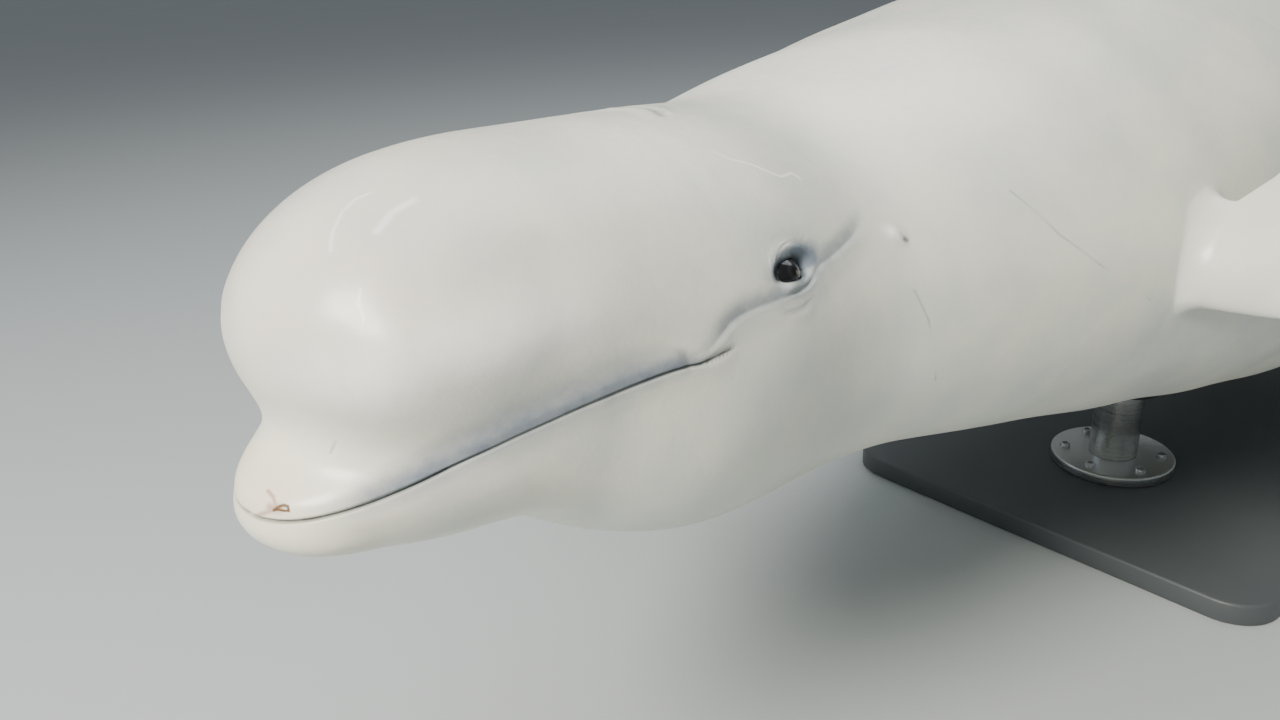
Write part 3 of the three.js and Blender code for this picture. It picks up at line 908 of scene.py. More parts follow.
        # Painted shade in the eye's recess, and the halo round it, partly painted shade
        socket = np.zeros(p.shape[:-1])
        for seat in self.eyes.values():
            dark, halo = seat.shade(p)
            socket, cool = np.maximum(socket, dark), np.maximum(cool, halo)
        return {
            "lip": self.lip_mark(q),
            "fold": np.max(creases, axis=0),
            "cool": np.maximum(cool, slit * self.blowhole_cool.at(behind)),
            "socket": clamp01(socket),
            "blush": self.melon_blush_and_shade.at(q),
            "pale": np.max([spot.at(q) for spot in self.painted_highlights], axis=0),
            "ivory": self.ivory_tip.at(p),
        }

    def lip_mark(self, q: Array) -> Array:
        """Gives the grey band along the lips, partly painted shade, at points folded to the left flank.

        Args:
            q: Points folded to the left flank.

        Returns:
            Shares from 0 to 1.
        """
        over, there = self.mouth.offsets(q)
        y = q[..., 1]
        along = ramp(y, *self.lip_front) * (1 - ramp(y, *self.lip_back))
        edge = (-self.lip_edge, 2 * self.lip_edge)
        upper = ramp(over, *edge) * (1 - ramp(over / self.lip_band(y), *self.lip_top))
        lower = ramp(-over, *edge) * (1 - ramp(-over, *self.lip_bottom)) * self.lower_lip
        return np.maximum(along * there * (upper + lower), 0)


@dataclass
class SkinSheet:
    """Gathers the points, faces, unwrap and markings of one closed mesh."""

    points: list = field(default_factory=list)
    marks: list = field(default_factory=list)
    quads: list = field(default_factory=list)
    quad_uvs: list = field(default_factory=list)
    triangles: list = field(default_factory=list)
    triangle_uvs: list = field(default_factory=list)
    count: int = 0

    def add_points(self, points: Array, marks: dict[str, Array]) -> Array:
        """Adds points.

        Args:
            points: Points in the whale's frame.
            marks: Marking shares at each of them.

        Returns:
            Their indices, in the shape that the points came in.
        """
        shape = points.shape[:-1]
        size = int(np.prod(shape))
        self.points.append(points.reshape(-1, 3))
        shares = [np.broadcast_to(marks.get(name, 0.0), shape).reshape(-1) for name in MARKS]
        self.marks.append(np.stack(shares).astype(np.float32))
        self.count += size
        return np.arange(self.count - size, self.count).reshape(shape)

    def add_quads(self, corners: Array, uvs: Array) -> None:
        """Adds four-cornered faces with their places on the unwrap."""
        self.quads.append(corners.reshape(-1, 4))
        self.quad_uvs.append(uvs.reshape(-1, 4, 2))

    def add_triangles(self, corners: Array, uvs: Array) -> None:
        """Adds three-cornered faces with their places on the unwrap."""
        self.triangles.append(corners.reshape(-1, 3))
        self.triangle_uvs.append(uvs.reshape(-1, 3, 2))

    def mesh(self, name: str, scale: float, shift: Point) -> bpy.types.Mesh:
        """Makes the mesh.

        Args:
            name: Name of the mesh.
            scale: Metres to a unit.
            shift: Where the whale's own origin is, in metres.

        Returns:
            A smooth mesh with a UV map and one attribute for each marking.
        """
        points = np.vstack(self.points) * scale + np.array(shift)
        faces = np.vstack(self.quads).tolist() + np.vstack(self.triangles).tolist()
        mesh = bpy.data.meshes.new(name)
        mesh.from_pydata(points.tolist(), [], faces)
        uvs = np.concatenate([np.vstack(self.quad_uvs).ravel(), np.vstack(self.triangle_uvs).ravel()])
        layer = mesh.uv_layers.new(name="OFBake")
        layer.uv.foreach_set("vector", uvs.astype(np.float32))
        for mark, shares in zip(MARKS, np.concatenate(self.marks, axis=1)):
            attribute = mesh.attributes.new(mark, "FLOAT", "POINT")
            attribute.data.foreach_set("value", shares)
        mesh.shade_smooth()
        mesh.validate()
        return mesh


@dataclass(frozen=True)
class Section:
    """One cross-section of a blade."""

    centre: Array
    along: Array
    through: Array
    chord: float
    thickness: float
    bluntness: float = 0.42
    leanness: float = 0.12

    def outline(self, angle: Array) -> Array:
        """Gives points round the section: rounded nose, thin tail.

        Args:
            angle: Angles round the section, 0 at its tail.

        Returns:
            A point for each angle.
        """
        swell = 1 - self.bluntness * np.cos(angle) - self.leanness * np.cos(angle) ** 2
        forward = (self.chord / 2 * np.cos(angle))[:, None] * self.along
        return self.centre + forward + (self.thickness / 2 * np.sin(angle) * swell)[:, None] * self.through


@dataclass(frozen=True)
class Flipper:
    """Broad paddle held out to the side, leading edge low and trailing edge high."""

    side: Side
    root_tilt: float
    tip_tilt: float
    drop: float
    curl: float
    start: float = 712
    end: float = 808
    spread: float = math.radians(11.25)
    root: Point = (252, 760, 33)
    span: float = 425
    root_chord: float = 78
    full_chord: float = 238
    full_at: float = 0.42
    root_thickness: float = 52
    tip_thickness: float = 9
    sweep: float = 105
    tip_fullness: float = 3.2
    tip_lag: float = 0.12
    first: float = 0.085
    edge_reach: float = 26

    def section(self, u: float) -> Section:
        """Gives the blade at a share of its span.

        Args:
            u: Share of the span, from the root.

        Returns:
            The cross-section there.
        """
        tilt = mix(self.root_tilt, self.tip_tilt, u)
        mirror = np.array([self.side.value, 1.0, 1.0])
        along = np.array([0.0, math.cos(tilt), math.sin(tilt)])
        through = np.array([0.0, -math.sin(tilt), math.cos(tilt)])
        widen = mix(self.root_chord, self.full_chord, smooth(u / self.full_at))
        tip_share = clamp01((u - self.full_at) / (1 - self.full_at))
        chord = widen * math.sqrt(max(0.0, 1 - tip_share**self.tip_fullness))
        lead = -self.root_chord / 2 + self.sweep * u**2
        middle = lead + widen / 2 - self.tip_lag * widen * tip_share**2
        centre = np.array(self.root) + np.array([self.span * u, 0, self.curl * u**3 - self.drop * u])
        centre = centre + along * middle
        thickness = mix(self.root_thickness, self.tip_thickness, math.sqrt(u))
        return Section(centre * mirror, along * mirror, through * mirror, chord, thickness)


@dataclass(frozen=True)
class Fluke:
    """Level tail blade with a bowed trailing edge."""

    side: Side
    start: float = 3240
    end: float = 3520
    spread: float = math.radians(33.75)
    level: float = 31
    span: float = 465
    nose_root: float = 3262
    nose_tip: float = 3540
    tail_root: float = 3556
    tail_bow: float = 92
    root_thickness: float = 38
    tip_thickness: float = 7
    droop: float = 22
    nose_bow: float = 0.9
    tail_lean: float = 0.8
    thinning: float = 0.7
    least_chord: float = 8.0
    first: float = 0.13
    edge_reach: float = 34

    def section(self, u: float) -> Section:
        """Gives the blade at a share of its span.

        Args:
            u: Share of the span, from the root.

        Returns:
            The cross-section there.
        """
        nose = mix(self.nose_root, self.nose_tip, (1 - math.cos(u * math.pi / 2)) ** self.nose_bow)
        tail = self.tail_root + self.tail_bow * math.sin(math.pi * u**self.tail_lean)
        out, level = self.side.value * self.span * u, self.level - self.droop * u * u
        thickness = mix(self.root_thickness, self.tip_thickness, u**self.thinning)
        along, through = np.array([0.0, 1.0, 0.0]), np.array([0.0, 0.0, 1.0])
        centre, chord = np.array([out, (nose + tail) / 2, level]), max(self.least_chord, tail - nose)
        return Section(centre, along, through, chord, thickness)


@dataclass(frozen=True)
class Unwrap:
    """Where the patches of the skin lie on its flat unwrap, in metres of skin on a square page."""

    page: float = 3.62
    head_scale: float = 1.6
    trunk: tuple[float, float] = (1.05, 0.5)
    head: tuple[float, float] = (1.05, 0.03)
    face: tuple[float, float] = (2.85, 0.62)
    limb_left: float = 2.15
    limb_low: float = 1.3
    limb_step: tuple[float, float] = (0.72, 0.58)
    limb_margin: tuple[float, float] = (0.02, 0.26)

    def at(self, place: tuple[float, float], across: Array, along: Array, scale: float = 1.0) -> Array:
        """Gives unwrap coordinates from millimetres about a place on the page.

        Args:
            place: The place, in metres.
            across: Distances to its right.
            along: Distances above it.
            scale: How much the patch is enlarged.

        Returns:
            Coordinates in the last axis.
        """
        u = (place[0] + scale * across * MM) / self.page
        v = (place[1] + scale * along * MM) / self.page
        return np.stack(np.broadcast_arrays(u, v), axis=-1)


@dataclass(frozen=True)
class SkinLoft:
    """Lofts the skin: cones that fan out from a core in the head, then rings along the trunk."""

    form: WhaleForm
    relief: HeadRelief
    limbs: tuple
    sheet: SkinSheet = field(default_factory=SkinSheet)
    core: Point = (0, 205, 55)
    fan_rings: int = 110
    fan_packing: float = 2.2
    # End of each run behind the snout, and its rings
    runs: tuple = ((470, 85), (690, 32), (850, 26), (1000, 12), (3240, 60), (3520, 24), (3548, 3))
    head_end: float = 470
    below_seam: int = 62
    above_seam: int = 82
    seam_packing: float = 2.7
    # Where the points' packing and the seam's bend begin to go, and angles tried for the seam
    packing_end: float = 385
    seam_end: float = 415
    seam_low: float = -32
    seam_high: float = 40
    seam_trials: int = 145
    straighten: float = 600
    follow_start: float = 300
    follow_length: float = 300
    dip_limit: float = math.radians(30)
    eye_patch_half: float = 21
    eye_patch_rings: int = 26
    eye_patch_packing: float = 0.8
    # From the lids' crest in to the opening: share of the way, and of the lid's thickness over the eye
    lid_rings: tuple = ((0.45, 0.9), (0.85, 0.5), (1.0, 0.0))
    # Share of the way to the patch's middle on the page: start and length of patch, lids and socket
    patch_page: tuple[float, float] = (0.0, 0.55)
    lid_page: tuple[float, float] = (0.6, 0.1)
    socket_page: tuple[float, float] = (0.7, 0.25)
    lid_reach: float = 60
    socket_rings: int = 9
    fillet_rings: int = 12
    limb_rings: int = 30
    handle: float = 0.8
    opening_reach: float = 2.6
    fillet_width: float = 13
    opening_steps: int = 4
    leave_step: float = 0.03
    edge_start: float = 0.15
    edge_length: float = 0.3
    unwrap: Unwrap = Unwrap()

    @property
    def sides(self) -> int:
        """Points round a ring of the head."""
        return 2 * (self.below_seam + self.above_seam)

    def nose_dip(self) -> float:
        """Finds how far the fan's axis dips, so that it meets the mouth line on the lips.

        Returns:
            The dip in radians.
        """
        low, high = 0.0, self.dip_limit
        core = np.array(self.core, float)
        for _ in range(HALVINGS):
            dip = (low + high) / 2
            tip = self.form.cast(core, np.array([0.0, -math.cos(dip), -math.sin(dip)]))
            if tip[2] > self.relief.seam(tip[1]):
                low = dip
            else:
                high = dip
        return (low + high) / 2

    def ring_places(self) -> tuple[Array, Array]:
        """Gives each ring's opening angle about the fan's axis and its place along the body.

        Returns:
            Opening angles and places, by ring.
        """
        steps = np.arange(1, self.fan_rings + 1) / self.fan_rings
        opening = math.pi / 2 * np.sinh(self.fan_packing * steps) / math.sinh(self.fan_packing)
        y = np.full(self.fan_rings, float(self.core[1]))
        start = self.core[1]
        for end, count in self.runs:
            run = mix(start, end, np.arange(1, count + 1) / count)
            y = np.concatenate([y, run])
            opening = np.concatenate([opening, np.full(count, math.pi / 2)])
            start = end
        return opening, y

    def rays(self, opening: Array, y: Array, angle: Array) -> tuple[Array, Array]:
        """Makes the rays of rings.

        Args:
            opening: Opening angle of each ring.
            y: Place of each ring.
            angle: Angles round each ring, from the left towards the back.

        Returns:
            Starts and unit directions in the head's frame, by ring and angle.
        """
        straight = ramp(y, self.core[1], self.straighten)
        turn = -self.form.head_turn * ramp(y, self.follow_start, self.follow_length)
        dip = self.nose_dip() * (1 - straight)
        level = mix(self.core[2], self.form.lines(y)[2], straight)
        neck, zero = np.array(self.form.neck), 0 * y
        start = turn_z(np.stack([zero, y, level], axis=-1) - neck, turn) + neck
        left = turn_z(np.stack([zero + 1, zero, zero], axis=-1), turn)[:, None]
        up = turn_z(np.stack([zero, -np.sin(dip), np.cos(dip)], axis=-1), turn)[:, None]
        ahead = turn_z(np.stack([zero, -np.cos(dip), -np.sin(dip)], axis=-1), turn)[:, None]
        wide = np.sin(opening)[:, None, None]
        around = np.cos(angle)[..., None] * left + np.sin(angle)[..., None] * up
        direction = np.cos(opening)[:, None, None] * ahead + wide * around
        return np.broadcast_to(start[:, None], direction.shape), direction

    def seam_angles(self, opening: Array, y: Array) -> Array:
        """Finds the angle at which each ring of the head crosses the mouth line or the cheek crease.

        Args:
            opening: Opening angle of each ring.
            y: Place of each ring.

        Returns:
            One angle for each ring.
        """
        trial = np.radians(np.linspace(self.seam_low, self.seam_high, self.seam_trials))
        grid = np.broadcast_to(trial, (len(y), len(trial)))
        start, direction = self.rays(opening, y, grid)
        points = self.form.cast(start, direction)
        over = points[..., 2] - self.relief.seam(points[..., 1])
        first = np.argmax(over > 0, axis=1)
        rows = np.arange(len(y))
        before = over[rows, first - 1]
        share = -before / (over[rows, first] - before)
        found = mix(trial[first - 1], trial[first], share)
        return found * (1 - ramp(y, self.seam_end, self.head_end - self.seam_end))

    def ring_angles(self, opening: Array, y: Array) -> Array:
        """Spreads each ring's points, closest together along the seam.

        Args:
            opening: Opening angle of each ring.
            y: Place of each ring.

        Returns:
            Angles by ring.
        """
        seam = np.zeros(len(y))
        head = y <= self.head_end
        seam[head] = self.seam_angles(opening[head], y[head])
        loosened = 1 - ramp(y, self.packing_end, self.head_end - self.packing_end)
        packing, seam = (self.seam_packing * loosened + 1e-3)[:, None], seam[:, None]
        low = np.arange(self.below_seam, 0, -1) / self.below_seam
        high = np.arange(0, self.above_seam + 1) / self.above_seam
        lower = seam - (seam + math.pi / 2) * np.sinh(packing * low) / np.sinh(packing)
        upper = seam + (math.pi / 2 - seam) * np.sinh(packing * high) / np.sinh(packing)
        left = np.concatenate([lower, upper], axis=1)
        return np.concatenate([left, math.pi - left[:, -2:0:-1]], axis=1)

    def shape_opening(self, points: Array, limb: Flipper) -> None:
        """Slides points over the form, so that a flipper's square opening takes the outline of its root.

        Args:
            points: Points of the form in the head's frame by ring and angle, changed in place.
            limb: The flipper that grows out of the opening.
        """
        p = self.form.to_trunk(points)
        root = limb.section(limb.first)
        middle = np.array([(limb.start + limb.end) / 2])
        _, _, level, width = (line[0] for line in self.form.lines(middle))
        centre = np.array([middle[0], level])
        half = np.array([(limb.end - limb.start) / 2, width * math.sin(limb.spread)])
        flat = (p[..., 1:] - centre) / half
        square, reach = np.max(np.abs(flat), axis=-1), length(flat)
        near = (square < self.opening_reach) & (p[..., 0] * limb.side.value > 0) & (square > 1e-6)
        disc = flat[near] * (square[near] / reach[near])[:, None]
        along, through = root.along[1:], root.through[1:]
        stretch = (root.chord / 2 + self.fillet_width) * np.outer(along, along)
        stretch = stretch + (root.thickness / 2 + self.fillet_width) * np.outer(through, through)
        share = ramp(square[near], 1, self.opening_reach - 1)[:, None]
        moved = p[near]
        moved[:, 1:] = mix(disc @ stretch + root.centre[1:], moved[:, 1:], share)
        moved = self.form.to_head(moved)
        for _ in range(self.opening_steps):
            moved = moved - self.form.normal(moved) * self.form.distance(moved)[:, None]
        points[near] = moved

    def finish_points(self, p: Array) -> Array:
        """Lifts points of the form into the finished skin.

        Args:
            p: Points on the form's surface, in the head's frame.

        Returns:
            Points in the whale's frame.
        """
        lifted = p + self.form.normal(p) * self.relief.lift(p)[..., None]
        for seat in self.relief.eyes.values():
            lifted = seat.settle(lifted)
        return self.form.to_trunk(lifted)

    def build(self) -> SkinSheet:
        """Builds the whole skin.

        Returns:
            The points and faces of the skin.
        """
        opening, y = self.ring_places()
        angle = self.ring_angles(opening, y)
        start, direction = self.rays(opening, y, angle)
        head_count = int(np.sum(y <= self.head_end + 0.5))
        # The trunk has half as many points round it as the head
        keep = np.ones((len(y), self.sides), bool)
        keep[head_count:, 1::2] = False
        flesh = np.zeros((len(y), self.sides, 3))
        flesh[keep] = self.form.cast(start[keep], direction[keep])
        for limb in self.limbs:
            if isinstance(limb, Flipper):
                self.shape_opening(flesh, limb)
        skin = np.zeros_like(flesh)
        skin[keep] = self.finish_points(flesh[keep])
        head = self.sheet.add_points(skin[:head_count], self.relief.marks(flesh[:head_count]))
        trunk = self.sheet.add_points(skin[head_count:, ::2], self.relief.marks(flesh[head_count:, ::2]))
        self.add_face(head, skin, angle)
        self.add_head(head, flesh, skin, y)
        self.add_trunk(head, trunk, skin, y, angle)
        return self.sheet

    def add_face(self, head: Array, skin: Array, angle: Array) -> None:
        """Adds the fan of rings in front of the core, with its pole on the lips.

        Args:
            head: Point indices of the head's rings.
            skin: Finished points by ring.
            angle: Angles by ring.
        """
        core, dip = np.array(self.core, float), self.nose_dip()
        tip = self.form.cast(core, np.array([0.0, -math.cos(dip), -math.sin(dip)]))[None]
        finished = self.finish_points(tip)
        pole = self.sheet.add_points(finished, self.relief.marks(tip))[0]
        rows = np.concatenate([np.broadcast_to(finished, (1, self.sides, 3)), skin[: self.fan_rings]])
        radius = np.cumsum(length(np.diff(rows, axis=0)).mean(axis=1))[:, None]
        around = angle[: self.fan_rings]
        place, scale = self.unwrap.face, self.unwrap.head_scale
        uv = self.unwrap.at(place, radius * np.cos(around), radius * np.sin(around), scale)
        centre = np.broadcast_to(self.unwrap.at(place, np.zeros(1), np.zeros(1)), uv[0].shape)
        first = np.stack([np.full(self.sides, pole), head[0], following(head[0])], axis=-1)
        self.sheet.add_triangles(first, np.stack([centre, uv[0], following(uv[0])], axis=1))
        self.add_grid(head[: self.fan_rings], np.concatenate([uv, uv[:, :1]], axis=1))

    def ring_unwrap(self, rows: Array, y: Array, place: tuple[float, float], scale: float) -> Array:
        """Unrolls rings about the back, cut along the belly.

        Args:
            rows: Points by ring, in the whale's frame.
            y: Place of each ring.
            place: Where the patch lies on the page.
            scale: How much it is enlarged.

        Returns:
            Coordinates by ring, with the first point of each again at its end.
        """
        closed = np.concatenate([rows, rows[:, :1]], axis=1)
        arc = np.cumsum(length(np.diff(closed, axis=1)), axis=1)
        arc = np.concatenate([np.zeros((len(rows), 1)), arc], axis=1)
        return self.unwrap.at(place, arc - arc[:, -1:] / 2, (y - y[0])[:, None], scale)

    def add_grid(self, index: Array, uv: Array, skip: Array | None = None) -> None:
        """Adds the faces between rings, but for those in openings.

        Args:
            index: Point indices by ring.
            uv: Unwrap coordinates by ring, one column longer.
            skip: True where a face is left out.
        """
        after = np.roll(index, -1, axis=1)
        corners = np.stack([index[:-1], index[1:], after[1:], after[:-1]], axis=-1)
        uvs = np.stack([uv[:-1, :-1], uv[1:, :-1], uv[1:, 1:], uv[:-1, 1:]], axis=2)
        kept = np.ones(corners.shape[:2], bool) if skip is None else ~skip
        self.sheet.add_quads(corners[kept], uvs[kept])

    def add_head(self, head: Array, flesh: Array, skin: Array, y: Array) -> None:
        """Adds the rings from the core to the nape, with a patch of lids round each eye.

        Args:
            head: Point indices of the head's rings.
            flesh: Form points by ring.
            skin: Finished points by ring.
            y: Place of each ring.
        """
        rings = slice(self.fan_rings - 1, len(head))
        index, flesh = head[rings], flesh[rings]
        uv = self.ring_unwrap(skin[rings], y[rings], self.unwrap.head, self.unwrap.head_scale)
        skip = np.zeros((len(index) - 1, self.sides), bool)
        for seat in self.relief.eyes.values():
            a, b, height = seat.local(flesh)
            inside = (np.abs(a) < self.eye_patch_half) & (np.abs(b) < self.eye_patch_half) & (height > 0)
            i, j = np.nonzero(inside)
            opening = (i.min(), i.max(), j.min(), j.max())
            skip[opening[0] : opening[1], opening[2] : opening[3]] = True
            self.add_eye_patch(seat, index, flesh, uv, opening)
        self.add_grid(index, uv, skip)

    @staticmethod
    def opening_loop(i0: int, i1: int, j0: int, j1: int) -> tuple[Array, Array]:
        """Lists the edge of a rectangular opening, in the order of the faces that were there.

        Args:
            i0: First ring.
            i1: Last ring.
            j0: First point round the ring.
            j1: Last point round the ring.

        Returns:
            Places on the edge, and the step from each to its neighbour outside, as rows of two.
        """
        edge = [(i, j0) for i in range(i0, i1)] + [(i1, j) for j in range(j0, j1)]
        edge += [(i, j1) for i in range(i1, i0, -1)] + [(i0, j) for j in range(j1, j0, -1)]
        loop = np.array(edge)
        return loop, (loop == (i1, j1)).astype(int) - (loop == (i0, j0)).astype(int)

    def add_eye_patch(self, seat: EyeSeat, index: Array, flesh: Array, uv: Array, opening: tuple) -> None:
        """Adds the lids round an eye, and the socket behind the eyeball.

        Args:
            seat: The eye's seat.
            index: Point indices of the head's rings.
            flesh: Form points of those rings.
            uv: Unwrap coordinates of those rings.
            opening: First and last ring, first and last point, of the opening.
        """
        loop = tuple(self.opening_loop(*opening)[0].T)
        ring, ring_uv = index[loop], uv[loop]
        edge_uv, centre_uv = ring_uv, ring_uv.mean(axis=0)
        a, b, _ = seat.local(flesh[loop])
        count = len(ring)
        turning = np.unwrap(np.arctan2(b, a))
        way = np.sign(turning[-1] - turning[0])
        angle = mix(turning, turning[0] + way * 2 * math.pi * np.arange(count) / count, 0.5)
        crest_a, crest_b, _ = seat.crest(angle)
        rings = []
        for k in range(1, self.eye_patch_rings + 1):
            t = (k / self.eye_patch_rings) ** self.eye_patch_packing
            flat = seat.place(mix(a, crest_a, t), mix(b, crest_b, t), np.zeros(count))
            surface = self.form.cast(flat, np.broadcast_to(seat.out, flat.shape), self.lid_reach)
            rings.append((self.finish_points(surface), self.relief.marks(surface), self.patch_page, t))
        # The lids' inner rings and the socket behind the eyeball take the full painted shade of the eye's
        # recess
        dark = {"socket": 1.0}
        rim_a, rim_b = seat.outline(angle, 0)
        for share, over in self.lid_rings:
            la, lb = mix(crest_a, rim_a, share), mix(crest_b, rim_b, share)
            height = seat.ball_height(np.hypot(la, lb), seat.gap) + over * seat.lid_thickness
            rings.append((self.form.to_trunk(seat.place(la, lb, height)), dark, self.lid_page, share))
        size = seat.radius + seat.gap
        rim, spin = np.arcsin(np.hypot(rim_a, rim_b) / size), np.arctan2(rim_b, rim_a)
        for k in range(1, self.socket_rings):
            share = k / self.socket_rings
            open_by = mix(rim, math.pi, share)
            out = size * np.sin(open_by)
            inner = seat.place(out * np.cos(spin), out * np.sin(spin), size * np.cos(open_by))
            rings.append((self.form.to_trunk(inner), dark, self.socket_page, share))
        for points, marks, (page_start, page_length), share in rings:
            after = self.sheet.add_points(points, marks)
            after_uv = mix(edge_uv, centre_uv, page_start + page_length * share)
            self.sheet.add_quads(strip(ring, after), strip(ring_uv, after_uv))
            ring, ring_uv = after, after_uv
        back = seat.centre - size * seat.out
        pole = self.sheet.add_points(self.form.to_trunk(back[None]), dark)[0]
        self.sheet.add_triangles(cap(ring, pole), cap(ring_uv, centre_uv))

    def add_trunk(self, head: Array, trunk: Array, skin: Array, y: Array, angle: Array) -> None:
        """Adds the trunk with its limbs and tail end, from the head's last ring on.

        Args:
            head: Point indices of the head's rings.
            trunk: Point indices of the trunk's rings.
            skin: Finished points by ring.
            y: Place of each ring.
            angle: Angles by ring.
        """
        start = len(head) - 1
        uv = self.ring_unwrap(skin[start:, ::2], y[start:], self.unwrap.trunk, 1.0)
        seam, first = head[-1], trunk[0]
        middle_uv = (uv[0, :-1] + uv[0, 1:]) / 2
        self.sheet.add_triangles(
            np.stack([seam[::2], first, following(seam)[::2]], axis=-1),
            np.stack([uv[0, :-1], uv[1, :-1], middle_uv], axis=1),
        )
        self.sheet.add_quads(
            np.stack([seam[1::2], first, following(first), following(seam)[1::2]], axis=-1),
            np.stack([middle_uv, uv[1, :-1], uv[1, 1:], uv[0, 1:]], axis=1),
        )
        uv, rows, places = uv[1:], skin[start + 1 :, ::2], y[start + 1 :]
        bearing = np.concatenate([angle[-1, ::2], angle[-1, :1] + 2 * math.pi])
        skip = np.zeros((len(trunk) - 1, trunk.shape[1]), bool)
        for number, limb in enumerate(self.limbs):
            middle = 0.0 if limb.side is Side.LEFT else math.pi
            i0, i1 = (int(np.argmin(abs(places - end))) for end in (limb.start, limb.end))
            j0, j1 = (int(np.argmin(abs(bearing - middle - turn))) for turn in (-limb.spread, limb.spread))
            skip[i0:i1, j0:j1] = True
            self.add_limb(limb, number, trunk, rows, (i0, i1, j0, j1))
        self.add_grid(trunk, uv, skip)
        level = self.form.lines(np.array([self.form.notch]))[2][0]
        end = self.sheet.add_points(np.array([[0, self.form.notch, level]]), {})[0]
        faces = np.stack([trunk[-1], np.full(len(trunk[-1]), end), following(trunk[-1])], axis=-1)
        end_uv = self.unwrap.at(self.unwrap.trunk, np.zeros(1), np.full(1, self.form.notch - self.head_end))
        tip = np.broadcast_to(end_uv, uv[-1, :-1].shape)
        self.sheet.add_triangles(faces, np.stack([uv[-1, :-1], tip, uv[-1, 1:]], axis=1))

    def add_limb(self, limb: Flipper | Fluke, number: int, trunk: Array, rows: Array, opening: tuple) -> None:
        """Grows a limb out of its opening, with a fillet where it leaves the body.

        Args:
            limb: The limb's shape.
            number: Its place among the limbs' patches of the unwrap.
            trunk: Point indices of the trunk's rings.
            rows: Points of those rings.
            opening: First and last ring, first and last point, of the opening.
        """
        loop, out = self.opening_loop(*opening)
        rim = rows[tuple(loop.T)]
        pull = unit(rim - rows[tuple((loop + out).T)])
        root = limb.section(limb.first)
        flat = np.stack([(rim - root.centre) @ root.along, (rim - root.centre) @ root.through], axis=-1)
        flat = (flat - (flat.max(axis=0) + flat.min(axis=0)) / 2) / np.ptp(flat, axis=0)
        angle = np.arctan2(flat[:, 1], flat[:, 0])
        first = root.outline(angle)
        leave = unit(limb.section(limb.first + self.leave_step).outline(angle) - first)
        stretch = self.handle * length(rim - first)[:, None]
        rings, points = [trunk[tuple(loop.T)]], [rim]
        for t in np.arange(1, self.fillet_rings) / self.fillet_rings:
            point = (1 + 2 * t) * (1 - t) ** 2 * rim + t * (1 - t) ** 2 * stretch * pull
            points.append(point + t * t * (3 - 2 * t) * first + t * t * (t - 1) * stretch * leave)
            rings.append(self.sheet.add_points(points[-1], {}))
        for k in range(self.limb_rings):
            u = mix(limb.first, 1, math.sin(math.pi / 2 * k / self.limb_rings))
            points.append(limb.section(u).outline(angle))
            rings.append(self.sheet.add_points(points[-1], {"edge": self.edge_mark(limb, u, points[-1])}))
        # The upper half goes on one patch of the page and the lower half on another
        upper = np.sin((angle + following(angle)) / 2) * root.through[2] > 0
        for k in range(len(rings) - 1):
            corners, places = strip(rings[k], rings[k + 1]), strip(points[k], points[k + 1])
            for over in (True, False):
                chosen = upper == over
                self.sheet.add_quads(corners[chosen], self.limb_unwrap(number, over, root, places[chosen]))
        tip = limb.section(1.0).centre
        end = self.sheet.add_points(tip[None], {"edge": 1.0})[0]
        uvs = self.limb_unwrap(number, True, root, cap(points[-1], tip))
        self.sheet.add_triangles(cap(rings[-1], end), uvs)

    def edge_mark(self, limb: Flipper | Fluke, share: float, ring: Array) -> Array:
        """Gives how dark a limb's skin is near its trailing edge and its tip.

        Args:
            limb: The limb's shape.
            share: Share of its span.
            ring: Points of the section there.

        Returns:
            Shares from 0 to 1.
        """
        section = limb.section(share)
        behind = section.chord / 2 - (ring - section.centre) @ section.along
        return (1 - smooth(behind / limb.edge_reach)) * ramp(share, self.edge_start, self.edge_length)

    def limb_unwrap(self, number: int, over: bool, root: Section, p: Array) -> Array:
        """Lays a limb's upper or lower face flat on its patch of the page.

        Args:
            number: The limb's place among the patches.
            over: Whether it is the upper face.
            root: The limb's first section.
            p: Points in the whale's frame.

        Returns:
            Unwrap coordinates.
        """
        page = self.unwrap
        column, row = number % 2, number // 2 * 2 + (0 if over else 1)
        left = page.limb_left + column * page.limb_step[0] + page.limb_margin[0]
        low = page.limb_low + row * page.limb_step[1] + page.limb_margin[1]
        return page.at((left, low), np.abs(p[..., 0]), (p - root.centre) @ root.along)


